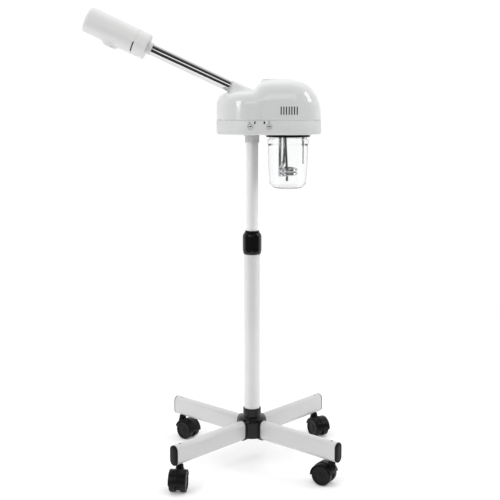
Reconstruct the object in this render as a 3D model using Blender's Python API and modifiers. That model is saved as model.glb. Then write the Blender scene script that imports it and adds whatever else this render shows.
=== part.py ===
"""Facial steamer on a rolling stand.

A steam head with a glass water jar sits on a telescopic pole. A chrome arm leaves the head at an angle
and carries a nozzle. The pole stands in a hub with four legs on twin-wheel casters.

Blender units are metres; every dimension below is in millimetres and every angle in degrees.
+Z is up, the floor is Z = 0, the control panel faces -Y, and the arm reaches towards -X.
All places are measured from the pole's axis on the floor, which the empty "pole_axis" holds.
"""

import math

import bmesh
import bpy
from mathutils import Matrix, Vector

MM = 0.001
WELD = 0.00001  # metres, for modifiers and welds that merge points
GAP = 0.3  # between pieces that touch
MANY_STEPS = 28  # sides of a large turned piece that shows
STEPS = 24  # sides of a middling turned piece
FEW_STEPS = 16  # sides of a small turned piece

# The pole's axis, from the middle of the whole object's footprint.
POLE_X = 97.8
POLE_Y = 13.4

# Base: four flat-oval legs on a round hub.
LEG_HEADINGS = {"front_left": 227.9, "front_right": 317.9, "back_right": 47.9, "back_left": 137.9}
LEG_END = 278.4
LEG_WIDTH = 25.0
LEG_HEIGHT = 50.0
LEG_MID_Z = 85.9
LEG_WALL = 1.5
LEG_ROOT = 17.0
RIVET_R = 3.2
CAP_PLATE = 3.0
CAP_PLUG = 11.0
HUB_R = 38.0
HUB_COLLAR_R = 23.0
HUB_TOP = 138.0
HUB_FOOT = 62.0
HUB_SEAT = 114.0
PLUG_HEIGHT = 19.0
BOLT_R = 4.0
BOLT_HEAD_R = 8.0

# Casters: the heading is the way a caster trails from its swivel.
CASTER_TRAILS = {"front_left": 264.0, "front_right": 150.0, "back_right": 300.0, "back_left": 320.0}
CASTER_FROM_AXIS = 258.0
WHEEL_R = 25.0
WHEEL_INNER_Y = 5.0
WHEEL_OUTER_Y = 20.5
AXLE_R = 3.0
TRAIL = 20.0
HOOD_THICK = 2.2
HOOD_GAP = 1.2
WEB_HALF = 4.0
STEM_R = 5.5
STEM_TOP = 104.0

# Pole.
LOWER_POLE_R = 20.0
UPPER_POLE_R = 15.0
POLE_WALL = 1.5
LOWER_POLE_TOP = 563.0
UPPER_POLE_FOOT = 344.0
UPPER_POLE_TOP = 862.0
CLAMP_FOOT = 538.0
CLAMP_TOP = 597.0
CLAMP_R = 23.5
GUIDE_HEIGHT = 30.0

# Head: a stadium plan, a low shoulder under the arm and a dome over the jar.
HEAD_R = 81.0
HEAD_LEFT_X = -6.5
JAR_X = 88.4
HEAD_FOOT = 836.0
SEAM = 871.0
SEAM_GAP = 0.5
LIP_GAP = 1.3
SHOULDER_Z = 937.5
SHOULDER_RUN = 26.0
SHOULDER_RISE = 32.5
SHOULDER_RIGHT_X = 45.0
DOME_RISE = 96.5
DOME_LEFT_RUN = 91.3
HEAD_WALL = 2.6
DOME_TOP_WALL = 5.0
FLOOR_WALL = 3.0
FOOT_FILLET = 5.0
POLE_HOLE_R = 18.1
JAR_HOLE_R = 46.0
HEAD_SIDES = 36
DOME_LEVELS = 8
CAP_X = 63.0
CAP_HALF_LENGTH = 39.0
CAP_HALF_WIDTH = 29.0
CAP_TOP = 969.2
CAP_THICK = 3.6
VENT_COUNT = 7
VENT_FIRST_X = 68.6
VENT_PITCH = 6.35
VENT_WIDTH = 2.5
VENT_HEIGHT = 19.5
VENT_Z = 893.6

# Controls on the front, inlet on the back.
BUTTON_XS = {"power": -4.6, "ozone": 40.0}
BUTTON_Z = 856.4
BUTTON_R = 7.0
BUTTON_TRAVEL = 1.5
LAMP_XS = {"power": 6.1, "ozone": 28.8}
LAMP_Z = 865.6
LAMP_SIZE = (3.2, 5.6)
BOARD_Y = -66.0
INLET_X = 52.0
INLET_Z = 854.5
INLET_SIZE = (27.0, 19.5)
INLET_CAVITY = (22.5, 15.5, 16.0)
FUSE_X = 18.0
FUSE_R = 5.6
BOARD_SIZE = (98.0, 1.6, 26.0)
TRANSFORMER_AT = (-47.0, 20.0, 851.7)
TRANSFORMER_SIZE = (30.0, 28.0, 24.6)
OZONE_LAMP_R = 6.0

# Jar and what hangs into it.
JAR_TOP = 832.5
JAR_FOOT = 704.0
JAR_NECK_R = 46.5
RING_R = 54.2
RING_FOOT = 829.0
COIL_R = 21.0
HEATER_R = 4.0
COIL_FOOT = 735.0
COIL_PITCH = 9.0
COIL_TURNS = 2.0
LEAD_TOP = 852.0
LEAD_IN = (-19.0, 9.0)
LEAD_OUT = (-9.0, -6.0)
SENSOR_AT = (-7.4, -16.0)
SENSOR_R = 3.0
PROBE_AT = (37.6, 0.0)
PROBE_R = 2.6
NIPPLE_AT = (12.0, 20.0)
NIPPLE_R = 7.4
LID_R = 45.6
HOSE_R = 10.2
HOSE_WALL = 2.2
HOSE_STEPS = 8

# Arm: its axis runs from the middle of the socket's mouth, up to the left.
MOUTH_X = -54.9
MOUTH_Z = 952.2
ARM_RISE = 25.06
SOCKET_R = 16.4
SOCKET_BORE_R = 15.0
TUBE_R = 13.5
TUBE_BORE_R = 12.2
TUBE_START = -42.0
TUBE_END = 228.0
NECK_START = 208.5
NECK_R = 15.5
NOZZLE_R = 31.5
NOZZLE_START = 219.9
NOZZLE_SPLIT = 251.0
NOZZLE_END = 380.6
NOZZLE_WALL = 2.5
NOZZLE_ROUND = 7.0
OUTLET_FROM_START = 85.7
OUTLET_R = 13.4
OUTLET_RISE = 7.0


# ---- Materials ---------------------------------------------------------------------------------

PLASTIC = {"roughness": 0.25, "metallic": 0.0}
METAL = {"roughness": 0.2, "metallic": 1.0}
FINISHES = {
    "white_head": ((0.62, 0.63, 0.63), PLASTIC),
    "white_nozzle": ((0.72, 0.72, 0.72), PLASTIC),
    "painted_steel": ((0.78, 0.78, 0.78), {"roughness": 0.3, "metallic": 0.1}),
    "black_plastic": ((0.015, 0.015, 0.016), {"roughness": 0.4, "metallic": 0.0}),
    "black_rubber": ((0.02, 0.02, 0.02), {"roughness": 0.7, "metallic": 0.0}),
    "chrome": ((0.85, 0.85, 0.86), {"roughness": 0.05, "metallic": 1.0}),
    "stainless": ((0.45, 0.45, 0.46), METAL),
    "grey_metal": ((0.25, 0.25, 0.26), METAL),
    "glass": ((0.95, 0.97, 0.97), {"roughness": 0.03, "metallic": 0.0}),
    "ceramic": ((0.8, 0.8, 0.78), {"roughness": 0.5, "metallic": 0.0}),
    "circuit_green": ((0.03, 0.2, 0.07), {"roughness": 0.5, "metallic": 0.0}),
    "lamp_violet": ((0.45, 0.4, 0.65), {"roughness": 0.1, "metallic": 0.0}),
    "lamp_dark": ((0.05, 0.05, 0.06), {"roughness": 0.2, "metallic": 0.0}),
}


def finish_of(name):
    """The named finish as a material, made once."""
    found = bpy.data.materials.get(name)
    if found:
        return found
    colour, surface = FINISHES[name]
    made = bpy.data.materials.new(name)
    made.use_nodes = True
    shader = made.node_tree.nodes["Principled BSDF"]
    shader.inputs["Base Color"].default_value = (*colour, 1.0)
    shader.inputs["Roughness"].default_value = surface["roughness"]
    shader.inputs["Metallic"].default_value = surface["metallic"]
    return made


# ---- Making and placing objects ------------------------------------------------------------------


def start_scene():
    """An empty scene with the two collections: the part's, and the cutters'."""
    for old in list(bpy.data.objects):
        bpy.data.objects.remove(old, do_unlink=True)
    for name in ("facial_steamer", "cutters"):
        made = bpy.data.collections.new(name)
        bpy.context.scene.collection.children.link(made)


def to_metres(x=0.0, y=0.0, z=0.0):
    return Vector((x, y, z)) * MM


def empty_at(name, parent=None, place=(0, 0, 0), turn=(0, 0, 0)):
    """An empty that holds a joint's axis; turn is in degrees about X, Y and Z."""
    made = bpy.data.objects.new(name, None)
    bpy.data.collections["facial_steamer"].objects.link(made)
    made.parent = parent
    made.location = to_metres(*place)
    made.rotation_euler = [math.radians(a) for a in turn]
    return made


def put(name, mesh, finish, parent, place=(0, 0, 0), turn=(0, 0, 0), smooth=30.0):
    """A mesh as a named object under its parent, smooth where faces meet at less than smooth degrees."""
    made = bpy.data.objects.new(name, mesh)
    cutter = finish is None
    bpy.data.collections["cutters" if cutter else "facial_steamer"].objects.link(made)
    if cutter:
        made.hide_render = True
        made.display_type = "WIRE"
    else:
        mesh.materials.append(finish_of(finish))
        mesh.shade_smooth()
        mesh.set_sharp_from_angle(angle=math.radians(smooth))
    made.parent = parent
    made.location = to_metres(*place)
    made.rotation_euler = [math.radians(a) for a in turn]
    return made


def boolean(target, tool, operation="DIFFERENCE"):
    """Cut target with tool, or join tool to it. A tool that is joined is kept as a cutter."""
    made = target.modifiers.new(tool.name, "BOOLEAN")
    made.object = tool
    made.operation = operation
    made.solver = "EXACT"
    return made


def mesh_of(name, build):
    """A mesh filled by build(bm)."""
    bm = bmesh.new()
    build(bm)
    mesh = bpy.data.meshes.new(name)
    bm.to_mesh(mesh)
    bm.free()
    return mesh


def evaluated_mesh(made):
    """The object's evaluated mesh with its loose seams welded; the object itself is removed."""
    bpy.context.view_layer.update()
    graph = bpy.context.evaluated_depsgraph_get()
    mesh = bpy.data.meshes.new_from_object(made.evaluated_get(graph))
    bm = bmesh.new()
    bm.from_mesh(mesh)
    bmesh.ops.remove_doubles(bm, verts=bm.verts, dist=WELD)
    bmesh.ops.recalc_face_normals(bm, faces=bm.faces)
    bm.to_mesh(mesh)
    bm.free()
    mesh.materials.clear()
    bpy.data.objects.remove(made, do_unlink=True)
    return mesh


def box_mesh(name, low, high):
    """A box between two corners."""
    size = [(b - a) * MM for a, b in zip(low, high)]
    middle = [(a + b) / 2 * MM for a, b in zip(low, high)]

    def build(bm):
        bmesh.ops.create_cube(bm, size=1.0)
        bmesh.ops.scale(bm, vec=size, verts=bm.verts)
        bmesh.ops.translate(bm, vec=middle, verts=bm.verts)

    return mesh_of(name, build)


def rod_mesh(name, radius, start, end, sides=FEW_STEPS):
    """A cylinder along Z from start to end."""

    def build(bm):
        bmesh.ops.create_cone(
            bm, cap_ends=True, segments=sides, radius1=radius * MM, radius2=radius * MM,
            depth=(end - start) * MM, matrix=Matrix.Translation(to_metres(z=(start + end) / 2)),
        )

    return mesh_of(name, build)


def turned_mesh(name, profile, steps=STEPS):
    """A profile of (radius, height) points turned about Z by a Screw modifier.

    The outer side runs from top to bottom. A profile that starts and ends on the axis makes a solid,
    and any other is closed into a ring.
    """
    ring = profile[0][0] > 0
    count = len(profile)
    edges = [(i, i + 1) for i in range(count - 1)]
    if ring:
        edges.append((count - 1, 0))
    mesh = bpy.data.meshes.new(name)
    mesh.from_pydata([(r * MM, 0.0, z * MM) for r, z in profile], edges, [])
    blank = bpy.data.objects.new(name + "_profile", mesh)
    bpy.context.scene.collection.objects.link(blank)
    screw = blank.modifiers.new("turn", "SCREW")
    screw.steps = steps
    screw.render_steps = steps
    screw.use_merge_vertices = True
    screw.merge_threshold = WELD
    return evaluated_mesh(blank)


def arc(centre_r, centre_z, radius_r, radius_z, start, end, count):
    """Points of a quarter ellipse in a turned profile, for angles in degrees from +radius."""
    angles = [math.radians(start + (end - start) * i / (count - 1)) for i in range(count)]
    return [(centre_r + radius_r * math.cos(a), centre_z + radius_z * math.sin(a)) for a in angles]


def plate_mesh(name, outlines, thickness, bevel=0.0):
    """A flat outline, with holes if more than one is given, as a 2D curve extruded to both sides."""
    curve = bpy.data.curves.new(name, "CURVE")
    curve.dimensions = "2D"
    curve.fill_mode = "BOTH"
    curve.extrude = thickness / 2 * MM
    for outline in outlines:
        spline = curve.splines.new("POLY")
        spline.points.add(len(outline) - 1)
        for point, (x, y) in zip(spline.points, outline):
            point.co = (x * MM, y * MM, 0.0, 1.0)
        spline.use_cyclic_u = True
    blank = bpy.data.objects.new(name + "_outline", curve)
    bpy.context.scene.collection.objects.link(blank)
    if bevel:
        weld = blank.modifiers.new("weld", "WELD")
        weld.merge_threshold = WELD
        edge = blank.modifiers.new("edge", "BEVEL")
        edge.width = bevel * MM
        edge.segments = 1
        edge.limit_method = "ANGLE"
    return evaluated_mesh(blank)


def stadium(half_x, half_y, quarter=3):
    """A stadium outline about the origin: its short sides are half circles."""
    radius = min(half_x, half_y)
    dx, dy = half_x - radius, half_y - radius
    points = []
    for corner, (sx, sy) in enumerate(((1, 1), (-1, 1), (-1, -1), (1, -1))):
        for i in range(quarter + 1):
            a = math.radians(90 * (corner + i / quarter))
            point = (sx * dx + radius * math.cos(a), sy * dy + radius * math.sin(a))
            if not points or math.dist(point, points[-1]) > 0.01:
                points.append(point)
    if math.dist(points[0], points[-1]) < 0.01:
        points.pop()
    return points


def wire_mesh(name, points, radius, resolution=2, hollow=0.0):
    """A round bar through the points, or a hose with walls hollow thick."""
    curve = bpy.data.curves.new(name, "CURVE")
    curve.dimensions = "3D"
    curve.bevel_depth = radius * MM
    curve.bevel_resolution = resolution
    curve.use_fill_caps = not hollow
    spline = curve.splines.new("POLY")
    spline.points.add(len(points) - 1)
    for point, place in zip(spline.points, points):
        point.co = (*[c * MM for c in place], 1.0)
    blank = bpy.data.objects.new(name + "_path", curve)
    bpy.context.scene.collection.objects.link(blank)
    if hollow:
        mesh = evaluated_mesh(blank)
        blank = bpy.data.objects.new(name + "_hose", mesh)
        bpy.context.scene.collection.objects.link(blank)
        wall = blank.modifiers.new("wall", "SOLIDIFY")
        wall.thickness = hollow * MM
        wall.offset = -1.0
    return evaluated_mesh(blank)


def loft_mesh(name, sections):
    """A closed skin through level sections with the same number of points, from the lowest up."""

    def build(bm):
        rings = [[bm.verts.new(to_metres(*p)) for p in section] for section in sections]
        count = len(rings[0])
        for low, high in zip(rings, rings[1:]):
            for i in range(count):
                j = (i + 1) % count
                bm.faces.new((low[i], low[j], high[j], high[i]))
        bm.faces.new(list(reversed(rings[0])))
        bm.faces.new(rings[-1])

    return mesh_of(name, build)


# ---- Base ----------------------------------------------------------------------------------------


def leg_axes(heading):
    """Turns a piece whose length is Z and whose tall side is Y so that it lies along a leg."""
    return (90.0, 0.0, heading + 90.0)


def along(heading, distance, z=0.0):
    """A place at a distance from the pole's axis."""
    a = math.radians(heading)
    return (distance * math.cos(a), distance * math.sin(a), z)


def make_hub(pole):
    """The moulded hub: a collar round the pole, four leg pockets and a bolt hole from below."""
    flare = arc(HUB_COLLAR_R + 3.0, 108.0, HUB_R - HUB_COLLAR_R - 3.0, 19.0, 90.0, 0.0, 5)
    profile = [
        (LOWER_POLE_R + GAP, HUB_SEAT),
        (LOWER_POLE_R + GAP, HUB_TOP - 1.0),
        (LOWER_POLE_R + 1.3, HUB_TOP),
        (HUB_COLLAR_R - 0.6, HUB_TOP),
        (HUB_COLLAR_R, HUB_TOP - 1.0),
        (HUB_COLLAR_R, 127.5),
        *flare,
        (HUB_R, 68.0),
        (HUB_R - 2.0, 65.0),
        (20.0, HUB_FOOT),
        (BOLT_HEAD_R + 1.5, HUB_FOOT),
        (BOLT_HEAD_R + 1.5, HUB_FOOT + 6.0),
        (BOLT_R + GAP, HUB_FOOT + 6.0),
        (BOLT_R + GAP, HUB_SEAT),
    ]
    hub = put("hub", turned_mesh("hub", profile, MANY_STEPS), "black_plastic", pole)
    outline = stadium(LEG_WIDTH / 2 + GAP, LEG_HEIGHT / 2 + GAP)
    length = 60.0
    for place, heading in LEG_HEADINGS.items():
        pocket = plate_mesh("pocket", [outline], length)
        middle = along(heading, LEG_ROOT - GAP + length / 2, LEG_MID_Z)
        boolean(hub, put("pocket_" + place, pocket, None, pole, middle, leg_axes(heading)))
    return hub


def make_leg(pole, place, heading):
    """A flat-oval tube from the hub to its end cap, with holes for the caster's stem."""
    outer = stadium(LEG_WIDTH / 2, LEG_HEIGHT / 2)
    inner = stadium(LEG_WIDTH / 2 - LEG_WALL, LEG_HEIGHT / 2 - LEG_WALL)
    tube_end = LEG_END - CAP_PLATE - GAP
    mesh = plate_mesh("leg", [outer, inner], tube_end - LEG_ROOT)
    middle = along(heading, (tube_end + LEG_ROOT) / 2, LEG_MID_Z)
    leg = put("leg_" + place, mesh, "painted_steel", pole, middle, leg_axes(heading))
    stem_hole = rod_mesh("stem_hole", STEM_R + GAP, 50.0, LEG_MID_Z, 16)
    rivet_hole = rod_mesh("rivet_hole", RIVET_R, LEG_MID_Z, 120.0, 12)
    swivel = along(heading, CASTER_FROM_AXIS)
    boolean(leg, put("stem_hole_" + place, stem_hole, None, pole, swivel))
    boolean(leg, put("rivet_hole_" + place, rivet_hole, None, pole, swivel))


def make_leg_cap(pole, place, heading):
    """The plastic cap that closes the leg's end, with a plug inside the tube."""
    plate = plate_mesh("cap", [stadium(LEG_WIDTH / 2, LEG_HEIGHT / 2)], CAP_PLATE, 0.8)
    plug_x = LEG_WIDTH / 2 - LEG_WALL - GAP
    plug_y = LEG_HEIGHT / 2 - LEG_WALL - GAP
    plug = plate_mesh("plug", [stadium(plug_x, plug_y)], CAP_PLUG)
    cap_place = along(heading, LEG_END - CAP_PLATE / 2, LEG_MID_Z)
    plug_place = along(heading, LEG_END - 1.0 - CAP_PLUG / 2, LEG_MID_Z)
    cap = put("leg_cap_" + place, plate, "black_plastic", pole, cap_place, leg_axes(heading))
    tool = put("cap_plug_" + place, plug, None, pole, plug_place, leg_axes(heading))
    boolean(cap, tool, "UNION")


def make_caster(pole, place, heading):
    """A twin-wheel caster: a hooded body on its swivel stem, an axle and two wheels."""
    swivel = empty_at("swivel_" + place, pole, along(heading, CASTER_FROM_AXIS),
                      (0, 0, CASTER_TRAILS[place]))
    hood_in = WHEEL_R + HOOD_GAP
    hood_out = hood_in + HOOD_THICK
    outer = arc(0, 0, hood_out, hood_out, -4.0, 166.0, 11)
    inner = arc(0, 0, hood_in, hood_in, 166.0, -4.0, 11)
    hood = plate_mesh("hood", [outer + inner], 2 * (WHEEL_OUTER_Y + 0.4))
    at_wheel = (TRAIL, 0, WHEEL_R)
    body = put("caster_body_" + place, hood, "black_plastic", swivel, at_wheel, (90, 0, 0))
    # The web between the wheels reaches from the hood down to the axle and back to the stem.
    web_outline = arc(0, 0, hood_in + 1.0, hood_in + 1.0, 10.0, 160.0, 9)
    web_outline += arc(0, 0, 7.5, 7.5, 225.0, 315.0, 4)
    web = plate_mesh("web", [web_outline], 2 * WEB_HALF)
    boss_foot = WHEEL_R + hood_in * math.cos(math.asin(TRAIL / hood_in)) - 6.0
    boss = turned_mesh("boss", [(0, STEM_TOP), (STEM_R - 1, STEM_TOP), (STEM_R, STEM_TOP - 1),
                                (STEM_R, 59.5), (8.6, 59.5), (8.6, boss_foot), (0, boss_foot)], 12)
    axle_hole = rod_mesh("axle_hole", AXLE_R + GAP, -WEB_HALF - 2, WEB_HALF + 2, 12)
    room_r = WHEEL_R + 0.7
    wheel_room = plate_mesh("wheel_room", [arc(0, 0, room_r, room_r, 0, 345, 24)], 60.0)
    room_web = box_mesh("room_web", (-60, -WEB_HALF, -60), (60, WEB_HALF, 60))
    room = put("wheel_room_" + place, wheel_room, None, swivel, at_wheel, (90, 0, 0))
    boolean(room, put("room_web_" + place, room_web, None, swivel, at_wheel))
    boolean(body, put("web_" + place, web, None, swivel, at_wheel, (90, 0, 0)), "UNION")
    boolean(body, put("boss_" + place, boss, None, swivel), "UNION")
    boolean(body, room)
    boolean(body, put("axle_hole_" + place, axle_hole, None, swivel, at_wheel, (90, 0, 0)))
    axle = rod_mesh("axle", AXLE_R, -WHEEL_OUTER_Y + 2.0, WHEEL_OUTER_Y - 2.0, 16)
    put("caster_axle_" + place, axle, "stainless", swivel, at_wheel, (90, 0, 0))
    bore = AXLE_R + GAP
    wheel_profile = [
        (bore, WHEEL_INNER_Y), (bore, WHEEL_OUTER_Y - 2.0), (18.0, WHEEL_OUTER_Y - 2.0),
        (19.5, WHEEL_OUTER_Y), (WHEEL_R - 2.0, WHEEL_OUTER_Y), (WHEEL_R, WHEEL_OUTER_Y - 2.2),
        (WHEEL_R, WHEEL_INNER_Y),
    ]
    for side, turn in (("left", (90, 0, 0)), ("right", (-90, 0, 0))):
        wheel = turned_mesh("wheel", wheel_profile, 20)
        put("caster_wheel_" + place + "_" + side, wheel, "black_plastic", swivel, at_wheel, turn)


def make_base(pole):
    make_hub(pole)
    for place, heading in LEG_HEADINGS.items():
        make_leg(pole, place, heading)
        make_leg_cap(pole, place, heading)
        make_caster(pole, place, heading)
    bolt = turned_mesh("bolt", [
        (0, HUB_SEAT + PLUG_HEIGHT + 1.0), (BOLT_R, HUB_SEAT + PLUG_HEIGHT + 1.0), (BOLT_R, HUB_FOOT + 5.7),
        (BOLT_HEAD_R, HUB_FOOT + 5.7), (BOLT_HEAD_R, HUB_FOOT + 1.0), (0, HUB_FOOT + 1.0),
    ], 12)
    put("hub_bolt", bolt, "stainless", pole)


# ---- Pole ----------------------------------------------------------------------------------------


def pipe_profile(outer, inner, foot, top):
    return [(inner, foot), (inner, top), (outer, top), (outer, foot)]


def make_pole(pole):
    lower = pipe_profile(LOWER_POLE_R, LOWER_POLE_R - POLE_WALL, HUB_SEAT + GAP, LOWER_POLE_TOP)
    put("lower_pole", turned_mesh("lower_pole", lower), "painted_steel", pole)
    plug_r = LOWER_POLE_R - POLE_WALL - GAP
    plug = pipe_profile(plug_r, BOLT_R + GAP, HUB_SEAT + GAP, HUB_SEAT + PLUG_HEIGHT)
    put("pole_plug", turned_mesh("pole_plug", plug, FEW_STEPS), "black_plastic", pole)
    upper = pipe_profile(UPPER_POLE_R, UPPER_POLE_R - POLE_WALL, UPPER_POLE_FOOT, UPPER_POLE_TOP)
    put("upper_pole", turned_mesh("upper_pole", upper), "painted_steel", pole)
    guide = [
        (UPPER_POLE_R + GAP, UPPER_POLE_FOOT), (UPPER_POLE_R + GAP, UPPER_POLE_FOOT + GUIDE_HEIGHT),
        (plug_r, UPPER_POLE_FOOT + GUIDE_HEIGHT), (plug_r, UPPER_POLE_FOOT),
    ]
    put("pole_guide", turned_mesh("pole_guide", guide, FEW_STEPS), "black_plastic", pole)


def make_clamp(pole):
    """The collet on the lower pole's top, and the lock ring that squeezes it on the upper pole."""
    flange_r = CLAMP_R - 1.8
    collet = [
        (LOWER_POLE_R + GAP, CLAMP_FOOT + 6.0), (LOWER_POLE_R + GAP, LOWER_POLE_TOP + GAP),
        (UPPER_POLE_R + GAP, LOWER_POLE_TOP + GAP), (UPPER_POLE_R + GAP, CLAMP_TOP),
        (17.0, CLAMP_TOP), (17.8, CLAMP_TOP - 1.5), (17.8, CLAMP_FOOT + 37.0),
        (flange_r, CLAMP_FOOT + 37.0), (flange_r, CLAMP_FOOT + 6.0),
    ]
    put("clamp_collet", turned_mesh("clamp_collet", collet), "black_plastic", pole)
    ring = [
        (LOWER_POLE_R + 0.5, CLAMP_FOOT), (LOWER_POLE_R + 0.5, CLAMP_FOOT + 4.5),
        (flange_r + GAP, CLAMP_FOOT + 4.5), (flange_r + GAP, CLAMP_FOOT + 38.5),
        (18.2, CLAMP_FOOT + 38.5), (18.2, CLAMP_FOOT + 54.0), (19.4, CLAMP_FOOT + 54.0),
        (21.6, CLAMP_FOOT + 50.5), (CLAMP_R, CLAMP_FOOT + 44.0), (CLAMP_R, CLAMP_FOOT + 11.5),
        (22.6, CLAMP_FOOT + 5.0), (21.2, CLAMP_FOOT),
    ]
    put("clamp_ring", turned_mesh("clamp_ring", ring), "black_plastic", pole)


# ---- Head ----------------------------------------------------------------------------------------


def rounded(t, power):
    """How far out a superellipse reaches at the share t of its height."""
    return max(0.0, 1.0 - t**power) ** (1.0 / power)


def dome_section(z, inset=0.0, top_inset=0.0):
    """The dome's outline at one height: round to the right, squarer to the left."""
    t = min(1.0, (z - SEAM) / (DOME_RISE - top_inset))
    left = (DOME_LEFT_RUN - inset) * rounded(t, 4.0)
    right = (HEAD_R - inset) * rounded(t, 2.3)
    half = (HEAD_R - inset) * rounded(t, 4.0)
    points = []
    for i in range(HEAD_SIDES):
        a = 2 * math.pi * i / HEAD_SIDES
        c, s = math.cos(a), math.sin(a)
        power = 2.0 / (2.0 if c > 0 else 6.0)
        run = (right if c > 0 else left) * math.copysign(abs(c) ** power, c)
        points.append((JAR_X + run, half * math.copysign(abs(s) ** power, s), z))
    return points


def stadium_section(z, radius, right_x):
    """A stadium at one height, from the head's left centre to right_x."""
    points = []
    for i in range(HEAD_SIDES):
        a = 2 * math.pi * (i + 0.5) / HEAD_SIDES
        centre = right_x if math.cos(a) > 0 else HEAD_LEFT_X
        points.append((centre + radius * math.cos(a), radius * math.sin(a), z))
    return points


def dome_mesh(name, inset=0.0, top_inset=0.0, foot=SEAM + SEAM_GAP):
    """The dome, with a straight side from the seam's height down to its foot."""
    sections = [[(x, y, foot) for x, y, _ in dome_section(SEAM, inset, top_inset)]]
    for i in range(1, DOME_LEVELS):
        lift = (DOME_RISE - top_inset) * math.sin(math.radians(90.0 * (i + 0.5) / DOME_LEVELS))
        sections.append(dome_section(SEAM + lift, inset, top_inset))
    return loft_mesh(name, sections)


def shoulder_mesh(name, inset=0.0, foot=SEAM + SEAM_GAP):
    """The low shoulder under the arm, with a rounded top edge."""
    top = SHOULDER_Z - inset
    sections = [stadium_section(foot, HEAD_R - inset, SHOULDER_RIGHT_X)]
    for i in range(6):
        a = math.radians(90.0 * i / 5)
        radius = HEAD_R - inset - SHOULDER_RUN * (1 - math.cos(a))
        z = top - SHOULDER_RISE * (1 - math.sin(a))
        sections.append(stadium_section(z, radius, SHOULDER_RIGHT_X))
    return loft_mesh(name, sections)


def make_cover(pole, arm):
    """The upper shell: shoulder, dome and arm socket in one moulding, with vents front and back."""
    cover = put("upper_cover", shoulder_mesh("shoulder"), "white_head", pole, smooth=35.0)
    boolean(cover, put("dome", dome_mesh("dome"), None, pole), "UNION")
    below = SEAM - 10.0
    inner_shoulder = shoulder_mesh("inner_shoulder", HEAD_WALL, below)
    inner_dome = dome_mesh("inner_dome", HEAD_WALL, DOME_TOP_WALL, below)
    boolean(cover, put("inner_shoulder", inner_shoulder, None, pole))
    boolean(cover, put("inner_dome", inner_dome, None, pole))
    boss = rod_mesh("socket_boss", SOCKET_R, -62.0, -2.8, MANY_STEPS)
    bore = rod_mesh("socket_bore", SOCKET_BORE_R, -90.0, 10.0, MANY_STEPS)
    boolean(cover, put("socket_boss", boss, None, arm), "UNION")
    boolean(cover, put("socket_bore", bore, None, arm))
    trim_room = rod_mesh("trim_room", SOCKET_R + GAP, -2.5, 20.0, MANY_STEPS)
    boolean(cover, put("trim_room", trim_room, None, arm))
    recess = plate_mesh("recess", [stadium(CAP_HALF_LENGTH + GAP, CAP_HALF_WIDTH + GAP)], 10.0)
    recess_z = CAP_TOP - CAP_THICK - GAP + 5.0
    boolean(cover, put("cap_recess", recess, None, pole, (CAP_X, 0, recess_z)))
    for i in range(VENT_COUNT):
        x = VENT_FIRST_X + VENT_PITCH * i
        slot = box_mesh("vent", (x - VENT_WIDTH / 2, -100, VENT_Z - VENT_HEIGHT / 2),
                        (x + VENT_WIDTH / 2, 100, VENT_Z + VENT_HEIGHT / 2))
        boolean(cover, put(f"vent_{i}", slot, None, pole))
    cap = plate_mesh("top_cap", [stadium(CAP_HALF_LENGTH, CAP_HALF_WIDTH)], CAP_THICK, 1.2)
    put("top_cap", cap, "white_head", pole, (CAP_X, 0, CAP_TOP - CAP_THICK / 2))


def make_tray(pole):
    """The lower shell, with openings for the pole, jar, controls and inlet, and a lip into the cover."""
    sections = []
    for i in range(4):
        a = math.radians(90.0 * i / 3)
        radius = HEAD_R - FOOT_FILLET * (1 - math.sin(a))
        sections.append(stadium_section(HEAD_FOOT + FOOT_FILLET * (1 - math.cos(a)), radius, JAR_X))
    sections.append(stadium_section(SEAM, HEAD_R, JAR_X))
    tray = put("lower_tray", loft_mesh("tray", sections), "white_head", pole, smooth=35.0)
    lip_out = HEAD_R - HEAD_WALL - LIP_GAP
    lip_sections = [stadium_section(z, lip_out, JAR_X) for z in (SEAM - 5.0, SEAM + 3.0)]
    boolean(tray, put("tray_lip", loft_mesh("tray_lip", lip_sections), None, pole), "UNION")
    hollow = [stadium_section(HEAD_FOOT + FLOOR_WALL, HEAD_R - HEAD_WALL - 2.0, JAR_X)]
    hollow.append(stadium_section(HEAD_FOOT + FLOOR_WALL + 3.0, HEAD_R - HEAD_WALL, JAR_X))
    hollow.append(stadium_section(SEAM - 4.0, HEAD_R - HEAD_WALL, JAR_X))
    hollow.append(stadium_section(SEAM - 2.5, lip_out - 1.4, JAR_X))
    hollow.append(stadium_section(SEAM + 10.0, lip_out - 1.4, JAR_X))
    boolean(tray, put("tray_hollow", loft_mesh("tray_hollow", hollow), None, pole))
    through = (HEAD_FOOT - 5.0, HEAD_FOOT + 8.0)
    boolean(tray, put("pole_hole", rod_mesh("pole_hole", POLE_HOLE_R, *through, 24), None, pole))
    jar_hole = rod_mesh("jar_hole", JAR_HOLE_R, *through, 32)
    boolean(tray, put("jar_hole", jar_hole, None, pole, (JAR_X, 0, 0)))
    for name, x in BUTTON_XS.items():
        hole = rod_mesh("button_hole", BUTTON_R + GAP, -10.0, 10.0, 24)
        place = (x, -HEAD_R, BUTTON_Z)
        boolean(tray, put("button_hole_" + name, hole, None, pole, place, (90, 0, 0)))
    for name, x in LAMP_XS.items():
        width, height = LAMP_SIZE[0] / 2 + GAP, LAMP_SIZE[1] / 2 + GAP
        hole = box_mesh("lamp_hole", (x - width, -90, LAMP_Z - height), (x + width, -70, LAMP_Z + height))
        boolean(tray, put("lamp_hole_" + name, hole, None, pole))
    width, height = INLET_SIZE[0] / 2 + GAP, INLET_SIZE[1] / 2 + GAP
    hole = box_mesh("inlet_hole", (INLET_X - width, 70, INLET_Z - height),
                    (INLET_X + width, 95, INLET_Z + height))
    boolean(tray, put("inlet_hole", hole, None, pole))
    fuse_hole = rod_mesh("fuse_hole", FUSE_R + 2 * GAP, -10.0, 10.0, 16)
    boolean(tray, put("fuse_hole", fuse_hole, None, pole, (FUSE_X, HEAD_R, INLET_Z), (90, 0, 0)))


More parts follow.
